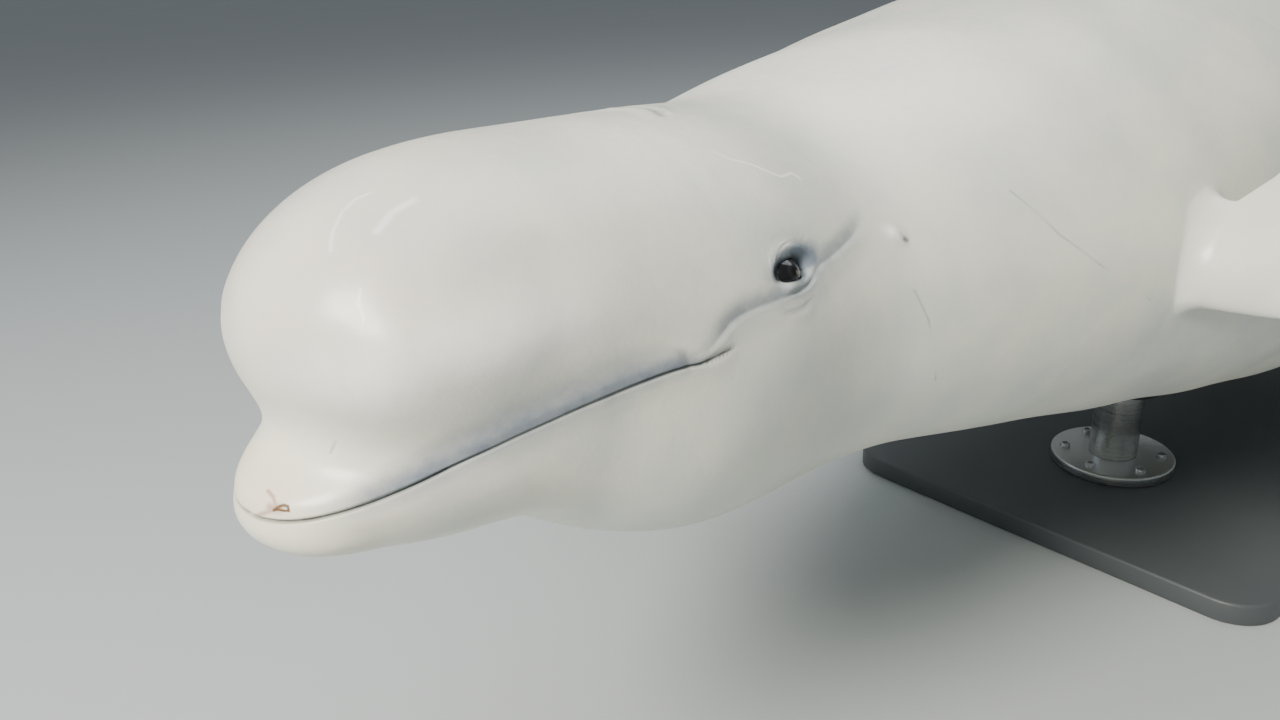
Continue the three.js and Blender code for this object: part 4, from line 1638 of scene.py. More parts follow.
class NodeSheet:
    """Nodes of one material or group, with the one helper that adds a node."""

    # Vector maths that gives a number
    measures = ("DISTANCE", "DOT_PRODUCT", "LENGTH")

    def __init__(self, tree: bpy.types.NodeTree) -> None:
        """Starts with the tree of a material or a group."""
        self.tree = tree

    def add(self, kind: str, links: dict | None = None, **settings: object) -> bpy.types.Node:
        """Adds a node with its settings and links.

        Args:
            kind: Blender's name for the node.
            links: What each input takes: a value, a socket, or a node for its first output.
            settings: Properties of the node.

        Returns:
            The node.
        """
        node = self.tree.nodes.new(kind)
        for key, value in settings.items():
            setattr(node, key, value)
        for key, value in (links or {}).items():
            self.feed(node.inputs[key], value)
        return node

    def feed(self, socket: bpy.types.NodeSocket, value: object) -> None:
        """Sets or links one input.

        Args:
            socket: The input.
            value: A value, a socket, or a node for its first output.
        """
        if isinstance(value, bpy.types.Node):
            value = value.outputs[0]
        if isinstance(value, bpy.types.NodeSocket):
            self.tree.links.new(value, socket)
        else:
            socket.default_value = value

    def maths(self, operation: str, first: object, second: object, clamp: bool = False) -> bpy.types.Node:
        """Adds arithmetic on two numbers."""
        return self.add("ShaderNodeMath", {0: first, 1: second}, operation=operation, use_clamp=clamp)

    def vector(self, operation: str, *values: object) -> bpy.types.NodeSocket:
        """Adds arithmetic on vectors, and gives its vector or its number."""
        node = self.add("ShaderNodeVectorMath", dict(enumerate(values)), operation=operation)
        return node.outputs["Value" if operation in self.measures else "Vector"]

    def spread(
        self, value: object, source: tuple, target: tuple = (0.0, 1.0), kind: str = "LINEAR"
    ) -> bpy.types.Node:
        """Takes a value from one range to another, and holds it at the ends."""
        links = {0: value, 1: source[0], 2: source[1], 3: target[0], 4: target[1]}
        return self.add("ShaderNodeMapRange", links, interpolation_type=kind)

    def tint(self, share: object, first: object, second: object) -> bpy.types.NodeSocket:
        """Mixes two colours, each a hex code or a socket."""
        start, end = (linear(colour) if isinstance(colour, str) else colour for colour in (first, second))
        return self.add("ShaderNodeMix", {0: share, 6: start, 7: end}, data_type="RGBA").outputs[2]

    def noise(self, place: object, scale: float, detail: float, roughness: float = 0.5) -> bpy.types.Node:
        """Adds noise, finer with a larger scale."""
        return self.add("ShaderNodeTexNoise", {"Vector": place, "Scale": scale, "Detail": detail,
                                               "Roughness": roughness})  # fmt: skip

    def bump(self, height: object, strength: float, distance: float, **links: object) -> bpy.types.Node:
        """Adds fine relief, over another one where Normal names it."""
        links.update(Height=height, Strength=strength, Distance=distance)
        return self.add("ShaderNodeBump", links)

    def mark(self, name: str, output: str = "Fac") -> bpy.types.NodeSocket:
        """Reads one of the mesh's own attributes."""
        return self.add("ShaderNodeAttribute", attribute_name=name).outputs[output]

    def place(self) -> bpy.types.NodeSocket:
        """Gives the place on the piece, in metres."""
        return self.add("ShaderNodeTexCoord").outputs["Object"]


class Finish:
    """One material: its title, and the nodes that each finish adds for itself."""

    title = ""
    # The range that holds most of a noise's values
    noise_span = (0.3, 0.7)

    def build(self) -> bpy.types.Material:
        """Makes the material.

        Returns:
            The material.
        """
        material = bpy.data.materials.new(self.title)
        material.use_nodes = True
        sheet = NodeSheet(material.node_tree)
        shader = material.node_tree.nodes["Principled BSDF"]
        for key, value in self.paint(sheet).items():
            sheet.feed(shader.inputs[key], value)
        return material

    def paint(self, sheet: NodeSheet) -> dict:
        """Adds the finish's nodes, and gives what each input of the shader takes."""
        raise NotImplementedError


@dataclass(frozen=True)
class Tint:
    """A colour laid over the skin, on one of its markings or along drawn lines.

    Each line is its points in the head's frame, and its width.
    """

    colour: str
    strength: float
    mark: str = ""
    lines: tuple = ()
    both_sides: bool = False


@dataclass(frozen=True)
class WetSkin(Finish):
    """Smooth, rubbery whale skin, just out of the water: pale, with a soft satin gloss."""

    form: WhaleForm
    origin: Point
    warm: str = "E3E2D4"
    cool: str = "D2D6CE"
    # Markings, some of them painted shade and painted highlights; pale streaks that are painted glints of the
    # wet skin and partly scratches; sore lines and scars at the snout; painted shade in fine folds; a painted
    # highlight on the ear's rim and painted shade in its pinhole
    tints: tuple = (
        # Pinkish grey on the melon's front, partly painted shade
        Tint("D9CFC6", 0.6, "blush"),
        # Painted highlight on the upper jaw, its shoulder, crown and nape
        Tint("FBFBF5", 0.9, "pale"),
        Tint("EFE9D2", 0.9, "ivory"),
        # Cool grey: painted shade by the cheek crease and behind the melon, and grey round the eye, partly
        # painted shade
        Tint("74808C", 0.85, "cool"),
        # Grey lip band, partly painted shade where the lip faces down
        Tint("808A98", 1.0, "lip"),
        Tint("A7A59B", 0.8, "edge"),
        # Painted shade in the mouth slit, the creases, the blowhole's slit and the ear's pit
        Tint("6F7777", 0.9, "fold"),
        # Painted shade in the eye's recess
        Tint("20282F", 1.25, "socket"),
        # Painted glints of the wet skin on the melon and head, partly scratches
        Tint("FFFFFF", 0.75, lines=(
            (((51, 72, 169), (49, 84, 176), (51, 98, 181)), 4.4),
            (((36, 51, 161), (29, 58, 168), (23, 70, 176), (22, 80, 181), (26, 87, 184)), 2.2),
            (((63, 49, 144), (65, 45, 138), (70, 44, 131), (71, 41, 124), (73, 41, 119)), 2.0),
            (((86, 324, 173), (96, 330, 168), (106, 343, 163), (116, 352, 156), (121, 358, 153),
              (121, 371, 153), (126, 374, 149)), 2.0),
        )),
        Tint("BC9C8C", 1.1, lines=(
            (((21.3, -2.1, 18.9), (13.2, -5.5, 15.3), (8.5, -5.8, 13.0)), 2.4),
            (((22.9, -0.7, 20.5), (17.2, 1.1, 24.7), (11.0, 1.8, 26.0)), 2.2),
            (((25.0, 0.0, 20.5), (18.0, -2.5, 19.5)), 5.0),
        )),
        Tint("6B5136", 1.7, lines=(
            (((21.3, -2.1, 18.9), (24.2, 0.3, 21.3), (26.5, 1.9, 22.2), (29.0, 2.8, 21.9),
              (30.4, 2.1, 19.8)), 1.5),
            (((30.4, 2.1, 19.8), (27.3, 0.5, 19.5), (24.1, -0.7, 19.7), (21.3, -2.1, 18.9)), 1.2),
        )),
        # Painted shade in fine folds of the neck, and a dark tick above the beak
        Tint("6F7777", 0.45, lines=(
            (((194, 426, 64), (202, 435, 40), (205, 449, -13)), 1.8),
            (((216, 532, 120), (248, 560, 83), (270, 596, 53), (296, 657, 11)), 1.8),
            (((37, 30, 47), (42, 32, 56)), 1.6),
        )),
        # Painted highlight on the ear's rim
        Tint("FBFBF5", 0.9, lines=((((176, 422, 107), (180, 428, 103)), 7.5),), both_sides=True),
        # Painted shade in the ear's pinhole
        Tint("20282F", 0.9, lines=((((181, 432, 100), (182, 433, 99)), 3.2),), both_sides=True),
    )  # fmt: skip
    # Sizes in metres, and the roughness of each noise
    mottle: tuple[float, float] = (0.09, 0.55)
    fleck: tuple[float, float] = (0.012, 0.6)
    grain_size: float = 0.0032
    mottle_span: tuple[float, float] = (0.36, 0.66)
    fleck_span: tuple[float, float] = (0.35, 0.7)
    # How much of a tint the flecks let through, and the gloss on plain skin and on lids
    fleck_share: tuple[float, float] = (0.75, 1.0)
    roughness: tuple[float, float] = (0.34, 0.46)
    gloss: tuple[float, float] = (0.25, 0.03)
    # Strength and distance of the soft relief and of the fine one
    soft_relief: tuple[float, float] = (0.25, 0.0012)
    fine_relief: tuple[float, float] = (0.12, 0.0004)
    title = "wet_beluga_skin"

    @staticmethod
    def stroke_group() -> bpy.types.NodeTree:
        """Makes the node group that masks one stroke by its distance.

        Returns:
            The group.
        """
        group = bpy.data.node_groups.new("stroke_mask", "ShaderNodeTree")
        vector, number = "NodeSocketVector", "NodeSocketFloat"
        for name, kind in {"Point": vector, "Start": vector, "End": vector, "Width": number}.items():
            group.interface.new_socket(name, in_out="INPUT", socket_type=kind)
        group.interface.new_socket("Mask", in_out="OUTPUT", socket_type=number)
        sheet = NodeSheet(group)
        entry = sheet.add("NodeGroupInput").outputs
        away = sheet.vector("SUBTRACT", entry["Point"], entry["Start"])
        line = sheet.vector("SUBTRACT", entry["End"], entry["Start"])
        over, size = sheet.vector("DOT_PRODUCT", away, line), sheet.vector("DOT_PRODUCT", line, line)
        share = sheet.maths("DIVIDE", over, size, clamp=True)
        foot = sheet.add("ShaderNodeVectorMath", {0: line, "Scale": share}, operation="SCALE")
        gap = sheet.vector("DISTANCE", away, foot)
        mask = sheet.spread(gap, (0.0, entry["Width"]), (1.0, 0.0), "SMOOTHSTEP")
        sheet.add("NodeGroupOutput", {"Mask": mask})
        return group

    @staticmethod
    def strokes(sheet: NodeSheet, group: bpy.types.NodeTree, point: object, lines: tuple) -> object:
        """Adds the mask of several drawn lines together.

        Args:
            sheet: The material's nodes.
            group: The node group of one stroke.
            point: Places to mask.
            lines: Lines with their widths.

        Returns:
            The mask's node.
        """
        total = None
        for line, width in lines:
            for start, end in zip(line[:-1], line[1:]):
                links = {"Start": np.array(start) * MM, "End": np.array(end) * MM, "Width": width * MM}
                links["Point"] = point
                node = sheet.add("ShaderNodeGroup", links, node_tree=group)
                total = node if total is None else sheet.maths("MAXIMUM", total, node)
        return total

    def head_place(self, sheet: NodeSheet) -> bpy.types.Node:
        """Gives places in the head's frame: back by the whale's place, then turned about the neck.

        Args:
            sheet: The material's nodes.

        Returns:
            The node that gives them.
        """
        neck, turn = Vector(self.form.neck) * MM, -self.form.head_turn
        shift = neck - Matrix.Rotation(turn, 3, "Z") @ (Vector(self.origin) + neck)
        links = {"Vector": sheet.place(), "Location": shift, "Rotation": (0, 0, turn)}
        return sheet.add("ShaderNodeMapping", links)

    def paint(self, sheet: NodeSheet) -> dict:
        """Adds the skin's nodes.

        Args:
            sheet: The material's nodes.

        Returns:
            What each input of the shader takes.
        """
        head, group = self.head_place(sheet), self.stroke_group()
        mottle = sheet.noise(head, 1 / self.mottle[0], 4.0, self.mottle[1])
        fleck = sheet.noise(head, 1 / self.fleck[0], 5.0, self.fleck[1])
        grain = sheet.noise(head, 1 / self.grain_size, 3.0)
        colour = sheet.tint(sheet.spread(mottle, self.mottle_span), self.warm, self.cool)
        fleck_share = sheet.spread(fleck, self.fleck_span, self.fleck_share)
        mirrored = sheet.vector("ABSOLUTE", head)
        for tint in self.tints:
            point = mirrored if tint.both_sides else head
            held = sheet.mark(tint.mark) if tint.mark else self.strokes(sheet, group, point, tint.lines)
            uneven = sheet.maths("MULTIPLY", held, fleck_share)
            share = sheet.maths("MULTIPLY", uneven, tint.strength, clamp=True)
            colour = sheet.tint(share, colour, tint.colour)
        return {
            "Base Color": colour,
            "Roughness": sheet.spread(fleck, self.noise_span, self.roughness),
            "Normal": sheet.bump(grain, *self.fine_relief, Normal=sheet.bump(fleck, *self.soft_relief)),
            "IOR": 1.4,
            "Subsurface Weight": 0.12,
            "Subsurface Radius": (0.012, 0.008, 0.006),
            "Subsurface Scale": 1.0,
            "Coat Weight": sheet.spread(sheet.mark("socket"), (0.0, 1.0), self.gloss),
            "Coat Roughness": 0.2,
        }


@dataclass(frozen=True)
class EyeGlaze(Finish):
    """Dark, wet eye: black pupil and near-black iris under a clear glossy cornea."""

    # Millimetres about the eye's axis, as the eye's own gaze attribute gives them
    iris_radius: float = 7.2
    iris_edge: float = 0.9
    pupil: tuple[float, float] = (4.6, 3.0)
    pupil_edge: tuple[float, float] = (1.08, 0.92)
    ring: tuple[float, float] = (3.2, 5.4)
    ray_scale: float = 1.4
    inner_iris: str = "0A0A0C"
    outer_iris: str = "1E1E21"
    rays: str = "151210"
    white: str = "0C0D0E"
    black: str = "050607"
    title = "glazed_eye"

    def paint(self, sheet: NodeSheet) -> dict:
        """Adds the eye's nodes.

        Args:
            sheet: The material's nodes.

        Returns:
            What each input of the shader takes.
        """
        gaze = sheet.mark("gaze", "Vector")
        stretched = sheet.vector("MULTIPLY", gaze, (1 / self.pupil[0], 1 / self.pupil[1], 0))
        pupil = sheet.vector("LENGTH", stretched)
        radius = sheet.vector("LENGTH", sheet.vector("MULTIPLY", gaze, (1, 1, 0)))
        iris = sheet.tint(sheet.spread(radius, self.ring), self.inner_iris, self.outer_iris)
        iris = sheet.tint(sheet.noise(gaze, self.ray_scale, 4.0), iris, self.rays)
        outside = sheet.spread(radius, (self.iris_radius - self.iris_edge, self.iris_radius))
        colour = sheet.tint(outside, iris, self.white)
        colour = sheet.tint(sheet.spread(pupil, self.pupil_edge), colour, self.black)
        return {"Base Color": colour, "Roughness": 0.2, "IOR": 1.34, "Coat Weight": 0.6, "Coat Roughness": 0.03}


@dataclass(frozen=True)
class PowderCoat(Finish):
    """Powder-coated steel plate: even dark grey with a fine orange-peel texture."""

    colour: str = "4A4F52"
    dusty: str = "5C6163"
    peel_size: float = 0.0035
    dust_size: float = 0.2
    dust_share: tuple[float, float] = (0.0, 0.25)
    roughness: tuple[float, float] = (0.44, 0.56)
    relief: tuple[float, float] = (0.2, 0.0005)
    title = "powder_coated_plate"

    def paint(self, sheet: NodeSheet) -> dict:
        """Adds the coat's nodes.

        Args:
            sheet: The material's nodes.

        Returns:
            What each input of the shader takes.
        """
        place = sheet.place()
        peel, dust = sheet.noise(place, 1 / self.peel_size, 2.0), sheet.noise(place, 1 / self.dust_size, 5.0)
        share = sheet.spread(dust, self.noise_span, self.dust_share)
        return {
            "Base Color": sheet.tint(share, self.colour, self.dusty),
            "Roughness": sheet.spread(dust, self.noise_span, self.roughness),
            "Normal": sheet.bump(peel, *self.relief),
        }


@dataclass(frozen=True)
class BrushedSteel(Finish):
    """Stainless steel, brushed round the rod: pale, with fine level lines."""

    colour: str = "C5C7C6"
    # The noise is stretched round the rod, so that it draws level lines
    line_spacing: float = 0.0012
    lines_round: float = 6
    roughness: tuple[float, float] = (0.22, 0.4)
    relief: tuple[float, float] = (0.12, 0.0002)
    title = "brushed_stainless_steel"

    def paint(self, sheet: NodeSheet) -> dict:
        """Adds the steel's nodes.

        Args:
            sheet: The material's nodes.

        Returns:
            What each input of the shader takes.
        """
        stretch = (self.lines_round, self.lines_round, 1 / self.line_spacing)
        drawn = sheet.add("ShaderNodeMapping", {"Vector": sheet.place(), "Scale": stretch})
        lines = sheet.noise(drawn, 1.0, 3.0)
        return {
            "Base Color": linear(self.colour),
            "Metallic": 1.0,
            "Roughness": sheet.spread(lines, self.noise_span, self.roughness),
            "Normal": sheet.bump(lines, *self.relief),
        }


@dataclass(frozen=True)
class MouldedRubber(Finish):
    """Moulded rubber pad: matt near-black with a faint bloom."""

    colour: str = "2B2D2E"
    bloom: str = "414344"
    bloom_size: float = 0.03
    bloom_span: tuple[float, float] = (0.35, 0.75)
    bloom_share: tuple[float, float] = (0.0, 0.5)
    relief: tuple[float, float] = (0.15, 0.0004)
    title = "moulded_rubber"

    def paint(self, sheet: NodeSheet) -> dict:
        """Adds the rubber's nodes.

        Args:
            sheet: The material's nodes.

        Returns:
            What each input of the shader takes.
        """
        bloom = sheet.noise(sheet.place(), 1 / self.bloom_size, 6.0)
        colour = sheet.tint(sheet.spread(bloom, self.bloom_span, self.bloom_share), self.colour, self.bloom)
        return {"Base Color": colour, "Roughness": 0.72, "Normal": sheet.bump(bloom, *self.relief)}


@dataclass(frozen=True)
class StudioFloorPaint(Finish):
    """Matt pale floor paint."""

    colour: str = "B4BABC"
    wear_scale: float = 0.8
    roughness: tuple[float, float] = (0.75, 0.9)
    title = "matt_floor_paint"

    def paint(self, sheet: NodeSheet) -> dict:
        """Adds the paint's nodes.

        Args:
            sheet: The material's nodes.

        Returns:
            What each input of the shader takes.
        """
        wear = sheet.noise(sheet.place(), self.wear_scale, 4.0)
        rough = sheet.spread(wear, self.noise_span, self.roughness)
        return {"Base Color": linear(self.colour), "Roughness": rough}


def register(piece: bpy.types.Object, nodes: list[str]) -> None:
    """Ties a finished piece to the frame.

    Args:
        piece: The piece, at the origin, with its place in its mesh.
        nodes: CAD nodes that it stands for.
    """
    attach(piece, BODY)
    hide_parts(*nodes)
    LOG.info("%s: %d faces, stands for %s", piece.name, len(piece.data.polygons), ", ".join(nodes))


def settle_place(piece: bpy.types.Object, name: str) -> bpy.types.Object:
    """Names a piece and puts its place in its mesh.

    Args:
        piece: The piece.
        name: Its name.

    Returns:
        The same piece.
    """
    piece.name = name
    piece.data.name = name
    piece.data.transform(piece.matrix_world)
    piece.matrix_world = Matrix.Identity(4)
    return piece


def deselect_all() -> None:
    """Leaves no object selected."""
    bpy.ops.object.select_all(action="DESELECT")


@contextmanager
def editing() -> Iterator[None]:
    """Keeps the active piece in edit mode.

    Returns:
        A context that ends in object mode.
    """
    bpy.ops.object.mode_set(mode="EDIT")
    yield
    bpy.ops.object.mode_set(mode="OBJECT")


class Pick(Enum):
    """What is picked in edit mode."""

    EDGE = "edges"
    FACE = "polygons"


def pick(piece: bpy.types.Object, kind: Pick, wanted: Callable) -> None:
    """Selects edges or faces, from edit mode.

    Args:
        piece: The piece being edited.
        kind: What to select.
        wanted: Test of an edge's two ends, or of a face.
    """
    bpy.ops.mesh.select_mode(type=kind.name)
    bpy.ops.mesh.select_all(action="DESELECT")
    bpy.ops.object.mode_set(mode="OBJECT")
    vertices = piece.data.vertices
    for item in getattr(piece.data, kind.value):
        asked = (item,) if kind is Pick.FACE else (vertices[k].co for k in item.vertices)
        item.select = bool(wanted(*asked))
    bpy.ops.object.mode_set(mode="EDIT")


def bevel(piece: bpy.types.Object, wanted: Callable, offset: float, segments: int) -> None:
    """Rounds the edges that pass a test of their two ends, from edit mode."""
    pick(piece, Pick.EDGE, wanted)
    bpy.ops.mesh.bevel(offset=offset, segments=segments, affect="EDGES")


@dataclass
class Whale:
    """The animal: one skin over all its flesh, and two eyes."""

    form: WhaleForm = WhaleForm()
    base_middle: float = 1780
    lift: float = 490
    gaze_back: float = 0.16
    eye_segments: int = 64
    eye_rings: int = 48
    bulge: float = 0.9
    bulge_reach: float = 7.6
    flesh_nodes: tuple = (
        "melon", "upper_jaw", "lower_jaw", "blowhole", "head", "neck", "trunk_front", "trunk_middle",
        "trunk_rear", "dorsal_ridge", "tail_stock", "flipper_left", "flipper_right", "fluke_left",
        "fluke_right",
    )  # fmt: skip
    limbs: tuple = (
        Flipper(Side.LEFT, math.radians(75), math.radians(58), 0, 45),
        Flipper(Side.RIGHT, math.radians(30), math.radians(12), 190, 45),
        Fluke(Side.LEFT),
        Fluke(Side.RIGHT),
    )

    @property
    def origin(self) -> Point:
        """Place of the snout tip's station in the row's frame, in metres."""
        return (0.0, -self.base_middle * MM, self.lift * MM)

    def eye_seat(self, side: Side) -> EyeSeat:
        """Reads an eye's place from its CAD node, and finds which way it faces.

        Args:
            side: Which eye.

        Returns:
            The eye's seat.
        """
        low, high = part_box(f"eye_{side.name.lower()}")
        middle = (np.array(low) + np.array(high)) / 2
        centre = self.form.to_head((middle - np.array(self.origin)) / MM)
        radius = (high.z - low.z) / 2 / MM
        out = unit(self.form.normal(centre) + np.array([0.0, self.gaze_back, 0.0]))
        return EyeSeat(centre=centre, out=out, radius=radius)

    def build(self) -> None:
        """Builds the skin and the eyes."""
        seats = {side: self.eye_seat(side) for side in Side}
        loft = SkinLoft(self.form, HeadRelief(self.form, seats), self.limbs)
        mesh = loft.build().mesh("whale_skin", MM, self.origin)
        skin = bpy.data.objects.new("whale_skin", mesh)
        bpy.context.scene.collection.objects.link(skin)
        mesh.materials.append(WetSkin(self.form, self.origin).build())
        register(skin, list(self.flesh_nodes))
        glaze = EyeGlaze().build()
        for side, seat in seats.items():
            self.build_eye(side, seat, glaze)

    def build_eye(self, side: Side, seat: EyeSeat, glaze: bpy.types.Material) -> None:
        """Models one eyeball with its clear bulge in front.

        Args:
            side: Which eye.
            seat: Where it sits.
            glaze: Its finish.
        """
        deselect_all()
        counts = {"segments": self.eye_segments, "ring_count": self.eye_rings}
        bpy.ops.mesh.primitive_uv_sphere_add(radius=seat.radius * MM, **counts)
        ball = bpy.context.object
        co = np.array([v.co for v in ball.data.vertices]) / MM
        across = np.hypot(co[:, 0], co[:, 1])
        co[:, 2] += self.bulge * (co[:, 2] > 0) * (1 - smooth(across / self.bulge_reach))
        frame = np.stack([seat.back, seat.up, seat.out])
        attribute = ball.data.attributes.new("gaze", "FLOAT_VECTOR", "POINT")
        attribute.data.foreach_set("vector", co.astype(np.float32).ravel())
        placed = self.form.to_trunk(seat.centre + co @ frame) * MM + np.array(self.origin)
        ball.data.vertices.foreach_set("co", placed.ravel())
        ball.data.update()
        with editing():
            bpy.ops.mesh.select_all(action="SELECT")
            bpy.ops.mesh.normals_make_consistent(inside=False)
        bpy.ops.object.shade_smooth()
        name = f"eye_{side.name.lower()}"
        settle_place(ball, f"{name}_ball")
        ball.data.materials.append(glaze)
        register(ball, [name])


@dataclass(frozen=True)
class Drum:
    """An upright round piece: its heights, its place, its radius, and that of the bore for the rod."""

    low: float
    high: float
    y: float
    radius: float
    bore: float = 0.0
    x: float = 0.0

    def on_rim(self, *points: Vector) -> bool:
        """Tells whether points lie on the rim."""
        return all(math.hypot(v.x, v.y - self.y) > self.radius - RIM for v in points)


@dataclass
class Stand:
    """Flat base, and two rods that hold the belly on rubber collars."""

    whale: Whale
    finishes: dict = field(default_factory=dict)
    corner: float = 0.060
    corner_segments: int = 12
    edge: float = 0.004
    flange_edge: float = 0.003
    rod_edge: float = 0.001
    collar_edge: float = 0.005
    # Rings of the collar's top, as shares of the way in, which let it follow the belly
    collar_rings: tuple = (0.12, 0.5)
    top_reach: float = 0.001
    drum_sides: int = 72
    bolt_sides: int = 24
    bolt_count: int = 6
    bolt_radius: float = 0.0075
    bolt_height: float = 0.006
    bolt_inset: float = 0.020
    bolt_edge: float = 0.0008
    socket_radius: float = 0.0042
    socket_depth: float = 0.6
    seat_gap: float = 0.0006
    # Degrees between faces from which an edge stays sharp
    sharp: float = 35
    collar_sharp: float = 40

    def build(self) -> None:
        """Builds every piece of the stand."""
        self.finishes = {Slot.PLATE: PowderCoat().build(), Slot.STEEL: BrushedSteel().build()}
        self.finishes[Slot.PAD] = MouldedRubber().build()
        self.build_base()
        for end in ("front", "rear"):
            self.build_rod(end)
            self.build_foot(end)
            self.build_collar(end)

    def close(self, piece: bpy.types.Object, slot: Slot, node: str, sharp: float) -> None:
        """Shades the active piece, gives it its finish and ties it to the frame.

        Args:
            piece: The piece.
            slot: Its slot.
            node: CAD node that it stands for.
            sharp: Degrees from which an edge stays sharp.
        """
        bpy.ops.object.shade_smooth_by_angle(angle=math.radians(sharp))
        piece.data.materials.append(self.finishes[slot])
        register(piece, [node])

    def build_base(self) -> None:
        """Models the base plate: rounded corners and a softened edge."""
        low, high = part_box("stand_base")
        deselect_all()
        bpy.ops.mesh.primitive_cube_add(size=1, location=(low + high) / 2, scale=high - low)
        plate = settle_place(bpy.context.object, "stand_base_plate")
        with editing():
            bevel(plate, lambda a, b: abs(a.z - b.z) > self.edge, self.corner, self.corner_segments)
            bevel(plate, lambda a, b: abs(a.z - b.z) < TINY, self.edge, 3)
        self.close(plate, Slot.PLATE, "stand_base", self.sharp)

    def fit_top(self, piece: bpy.types.Object, drum: Drum) -> None:
        """Shapes a piece's top to the belly.

        Args:
            piece: The piece.
            drum: Its measures.
        """
        origin, form = self.whale.origin, self.whale.form
        for vertex in piece.data.vertices:
            place = vertex.co
            if place.z > drum.high - self.top_reach:
                belly = float(form.belly_height(np.array(place.x / MM), np.array((place.y - origin[1]) / MM)))
                place.z = belly * MM + origin[2] - self.seat_gap

    def measure(self, node: str, end: str) -> Drum:
        """Measures a drum from its CAD node, and its bore from the rod at that end.

        Args:
            node: CAD node of the drum.
            end: Which end of the stand.

        Returns:
            The drum's measures.
        """
        low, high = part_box(node)
        rod_low, rod_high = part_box(f"stand_rod_{end}")
        bore = (rod_high.x - rod_low.x) / 2 + self.seat_gap / 2
        return Drum(low.z, high.z, (low.y + high.y) / 2, (high.x - low.x) / 2, bore)

    @staticmethod
    def cylinder(name: str, drum: Drum, sides: int) -> bpy.types.Object:
        """Adds a plain drum.

        Args:
            name: Name of the piece.
            drum: Its measures.
            sides: Faces round it.

        Returns:
            The piece.
        """
        deselect_all()
        place = (drum.x, drum.y, (drum.low + drum.high) / 2)
        depth = drum.high - drum.low
        bpy.ops.mesh.primitive_cylinder_add(vertices=sides, radius=drum.radius, depth=depth, location=place)
        return settle_place(bpy.context.object, name)

    @staticmethod
    def pierce(piece: bpy.types.Object, drum: Drum, rings: tuple = ()) -> None:
        """Opens a drum's bore, from edit mode, with rings on its ends at shares of the way in.

        Args:
            piece: The piece.
            drum: Its measures.
            rings: Shares of the way in at which the ends get a ring.
        """
        pick(piece, Pick.FACE, lambda face: abs(face.normal.z) > LEVEL)
        for share in (*rings, 1 - sum(rings)):
            bpy.ops.mesh.inset(thickness=(drum.radius - drum.bore) * share, use_individual=True)
        bpy.ops.mesh.bridge_edge_loops()

    def build_rod(self, end: str) -> None:
        """Models one rod, with its top shaped to the belly.

        Args:
            end: Which end of the stand.
        """
        node = f"stand_rod_{end}"
        drum = self.measure(node, end)
        rod = self.cylinder(node + "_tube", drum, self.drum_sides)
        self.fit_top(rod, drum)
        with editing():
            bevel(rod, lambda a, b: max(a.z, b.z) < drum.low + TINY, self.rod_edge, 2)
        self.close(rod, Slot.STEEL, node, self.sharp)

    def build_foot(self, end: str) -> None:
        """Models a flange with socket-head bolts round it.

        Args:
            end: Which end of the stand.
        """
        node = f"stand_foot_{end}"
        drum = self.measure(node, end)
        flange = self.cylinder(node + "_flange", drum, self.drum_sides)
        with editing():
            self.pierce(flange, drum)
            bevel(flange, lambda a, b: abs(a.z - b.z) < TINY and drum.on_rim(a, b), self.flange_edge, 3)
        out = drum.radius - self.bolt_inset
        turns = [2 * math.pi * (k + 0.5) / self.bolt_count for k in range(self.bolt_count)]
        bolts = [self.bolt(out * math.cos(turn), drum.y + out * math.sin(turn), drum.high) for turn in turns]
        deselect_all()
        for piece in (flange, *bolts):
            piece.select_set(True)
        bpy.context.view_layer.objects.active = flange
        bpy.ops.object.join()
        self.close(flange, Slot.STEEL, node, self.sharp)

    def bolt(self, x: float, y: float, bottom: float) -> bpy.types.Object:
        """Models a cap bolt with a socket sunk in its head.

        Args:
            x: Place across the stand.
            y: Place along it.
            bottom: Height of its foot.

        Returns:
            The bolt.
        """
        drum = Drum(bottom, bottom + self.bolt_height, y, self.bolt_radius, x=x)
        bolt = self.cylinder("bolt", drum, self.bolt_sides)
        top = drum.high - TINY
        with editing():
            bevel(bolt, lambda a, b: min(a.z, b.z) > top, self.bolt_edge, 2)
            pick(bolt, Pick.FACE, lambda face: face.normal.z > LEVEL and face.center.z > top)
            bpy.ops.mesh.inset(thickness=self.bolt_radius - self.bolt_edge - self.socket_radius)
            down = (0, 0, -self.socket_depth * self.bolt_height)
            bpy.ops.mesh.extrude_region_move(TRANSFORM_OT_translate={"value": down})
        return bolt

    def build_collar(self, end: str) -> None:
        """Models a rubber saddle: a ring round the rod whose top fits the belly.

        Args:
            end: Which end of the stand.
        """
        node = f"stand_collar_{end}"
        drum = self.measure(node, end)
        collar = self.cylinder(node + "_pad", drum, self.drum_sides)
        foot = drum.low + TINY
        with editing():
            self.pierce(collar, drum, self.collar_rings)
            bevel(collar, lambda a, b: max(a.z, b.z) < foot and drum.on_rim(a, b), self.collar_edge, 4)
        self.fit_top(collar, drum)
        self.close(collar, Slot.PAD, node, self.collar_sharp)


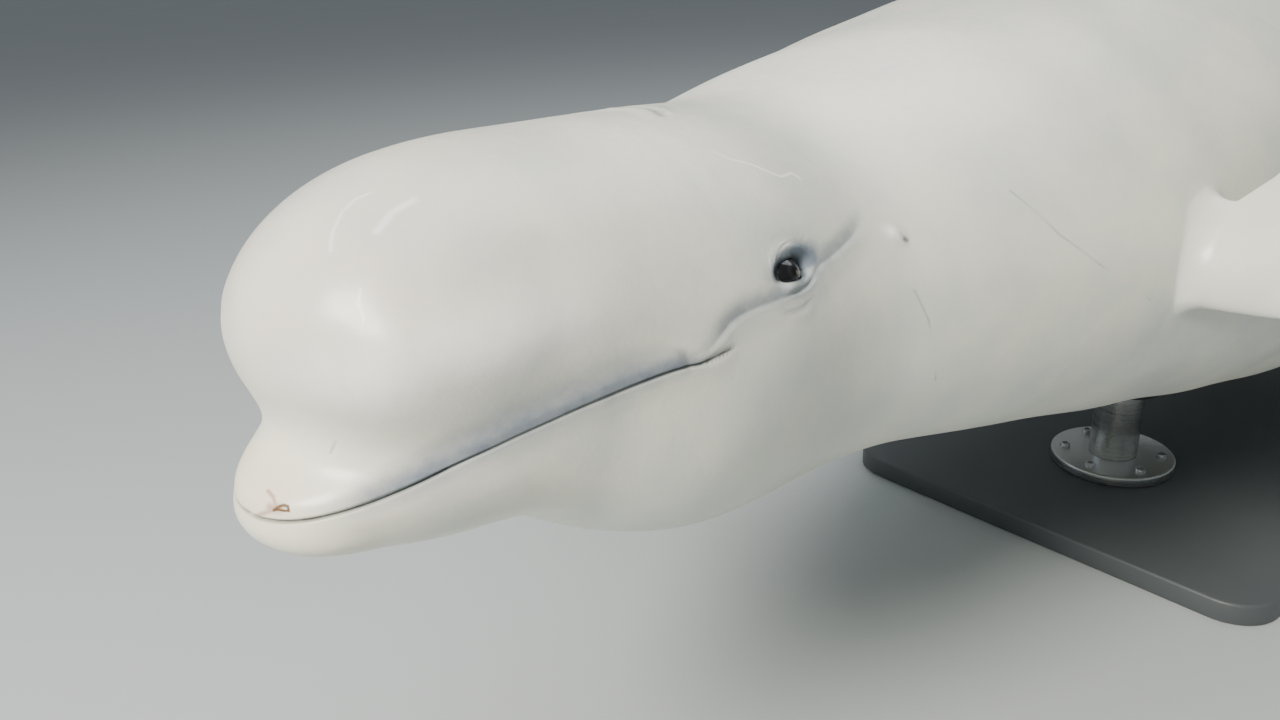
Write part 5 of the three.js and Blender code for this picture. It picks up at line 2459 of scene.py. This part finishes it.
@dataclass(frozen=True)
class PhotoCamera:
    """The camera at the photograph's viewing angle, in metres and degrees."""

    place: Point = (0.6101, -1.9271, 0.7978)
    azimuth: float = 50.8
    elevation: float = 22.38
    roll: float = -2.47
    lens: float = 28.45
    sensor: float = 36.0

    def build(self) -> None:
        """Adds the camera and makes it the scene's."""
        az, el, roll = (math.radians(v) for v in (self.azimuth, self.elevation, self.roll))
        ahead = Vector((-math.sin(az) * math.cos(el), math.cos(az) * math.cos(el), -math.sin(el)))
        level = Vector((math.cos(az), math.sin(az), 0))
        upright = level.cross(ahead)
        right = math.cos(roll) * level + math.sin(roll) * upright
        up = math.cos(roll) * upright - math.sin(roll) * level
        data = bpy.data.cameras.new("photo_camera")
        data.lens = self.lens
        data.sensor_width = self.sensor
        data.sensor_fit = "HORIZONTAL"
        data.clip_start = 0.02
        camera = bpy.data.objects.new("photo_camera", data)
        turn = Matrix((right, up, -ahead)).transposed().to_4x4()
        camera.matrix_world = Matrix.Translation(self.place) @ turn
        bpy.context.scene.collection.objects.link(camera)
        bpy.context.scene.camera = camera


@dataclass(frozen=True)
class Softbox:
    """One soft studio light."""

    name: str
    place: Point
    aim: Point
    size: float
    power: float
    colour: str = "FFFFFF"

    def build(self) -> None:
        """Adds the light."""
        data = bpy.data.lights.new(self.name, "AREA")
        data.shape = "DISK"
        data.size = self.size
        data.energy = self.power
        data.color = linear(self.colour)[:3]
        light = bpy.data.objects.new(self.name, data)
        light.location = self.place
        light.rotation_euler = (Vector(self.aim) - Vector(self.place)).to_track_quat("-Z", "Y").to_euler()
        bpy.context.scene.collection.objects.link(light)


@dataclass(frozen=True)
class Studio:
    """Pale floor, soft lights and an even surround."""

    floor_half: float = 40.0
    surround: str = "DCE2E6"
    surround_strength: float = 0.34
    lights: tuple = (
        Softbox("key_softbox", (0.55, -4.0, 2.5), (0.05, -1.6, 0.5), 1.1, 225, "FFF8EC"),
        Softbox("overhead_softbox", (-0.3, 0.6, 4.4), (0.0, 0.2, 0.5), 4.0, 120, "F6FAFF"),
        Softbox("fill_softbox", (-3.0, -3.4, 1.4), (0.0, -1.4, 0.5), 2.0, 8, "E4EEFF"),
    )

    def build(self) -> None:
        """Sets up the studio."""
        deselect_all()
        bpy.ops.mesh.primitive_plane_add(size=2 * self.floor_half, location=(0, 0, 0))
        floor = bpy.context.object
        floor.name = "studio_floor"
        floor.data.materials.append(StudioFloorPaint().build())
        for light in self.lights:
            light.build()
        world = bpy.data.worlds.new("surround")
        world.use_nodes = True
        background = world.node_tree.nodes["Background"]
        background.inputs["Color"].default_value = linear(self.surround)
        background.inputs["Strength"].default_value = self.surround_strength
        bpy.context.scene.world = world


def main() -> None:
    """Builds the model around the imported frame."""
    logging.basicConfig(level=logging.INFO, format="%(message)s")
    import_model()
    PhotoCamera().build()
    Studio().build()
    whale = Whale()
    whale.build()
    Stand(whale).build()


if __name__ == "__main__":
    main()
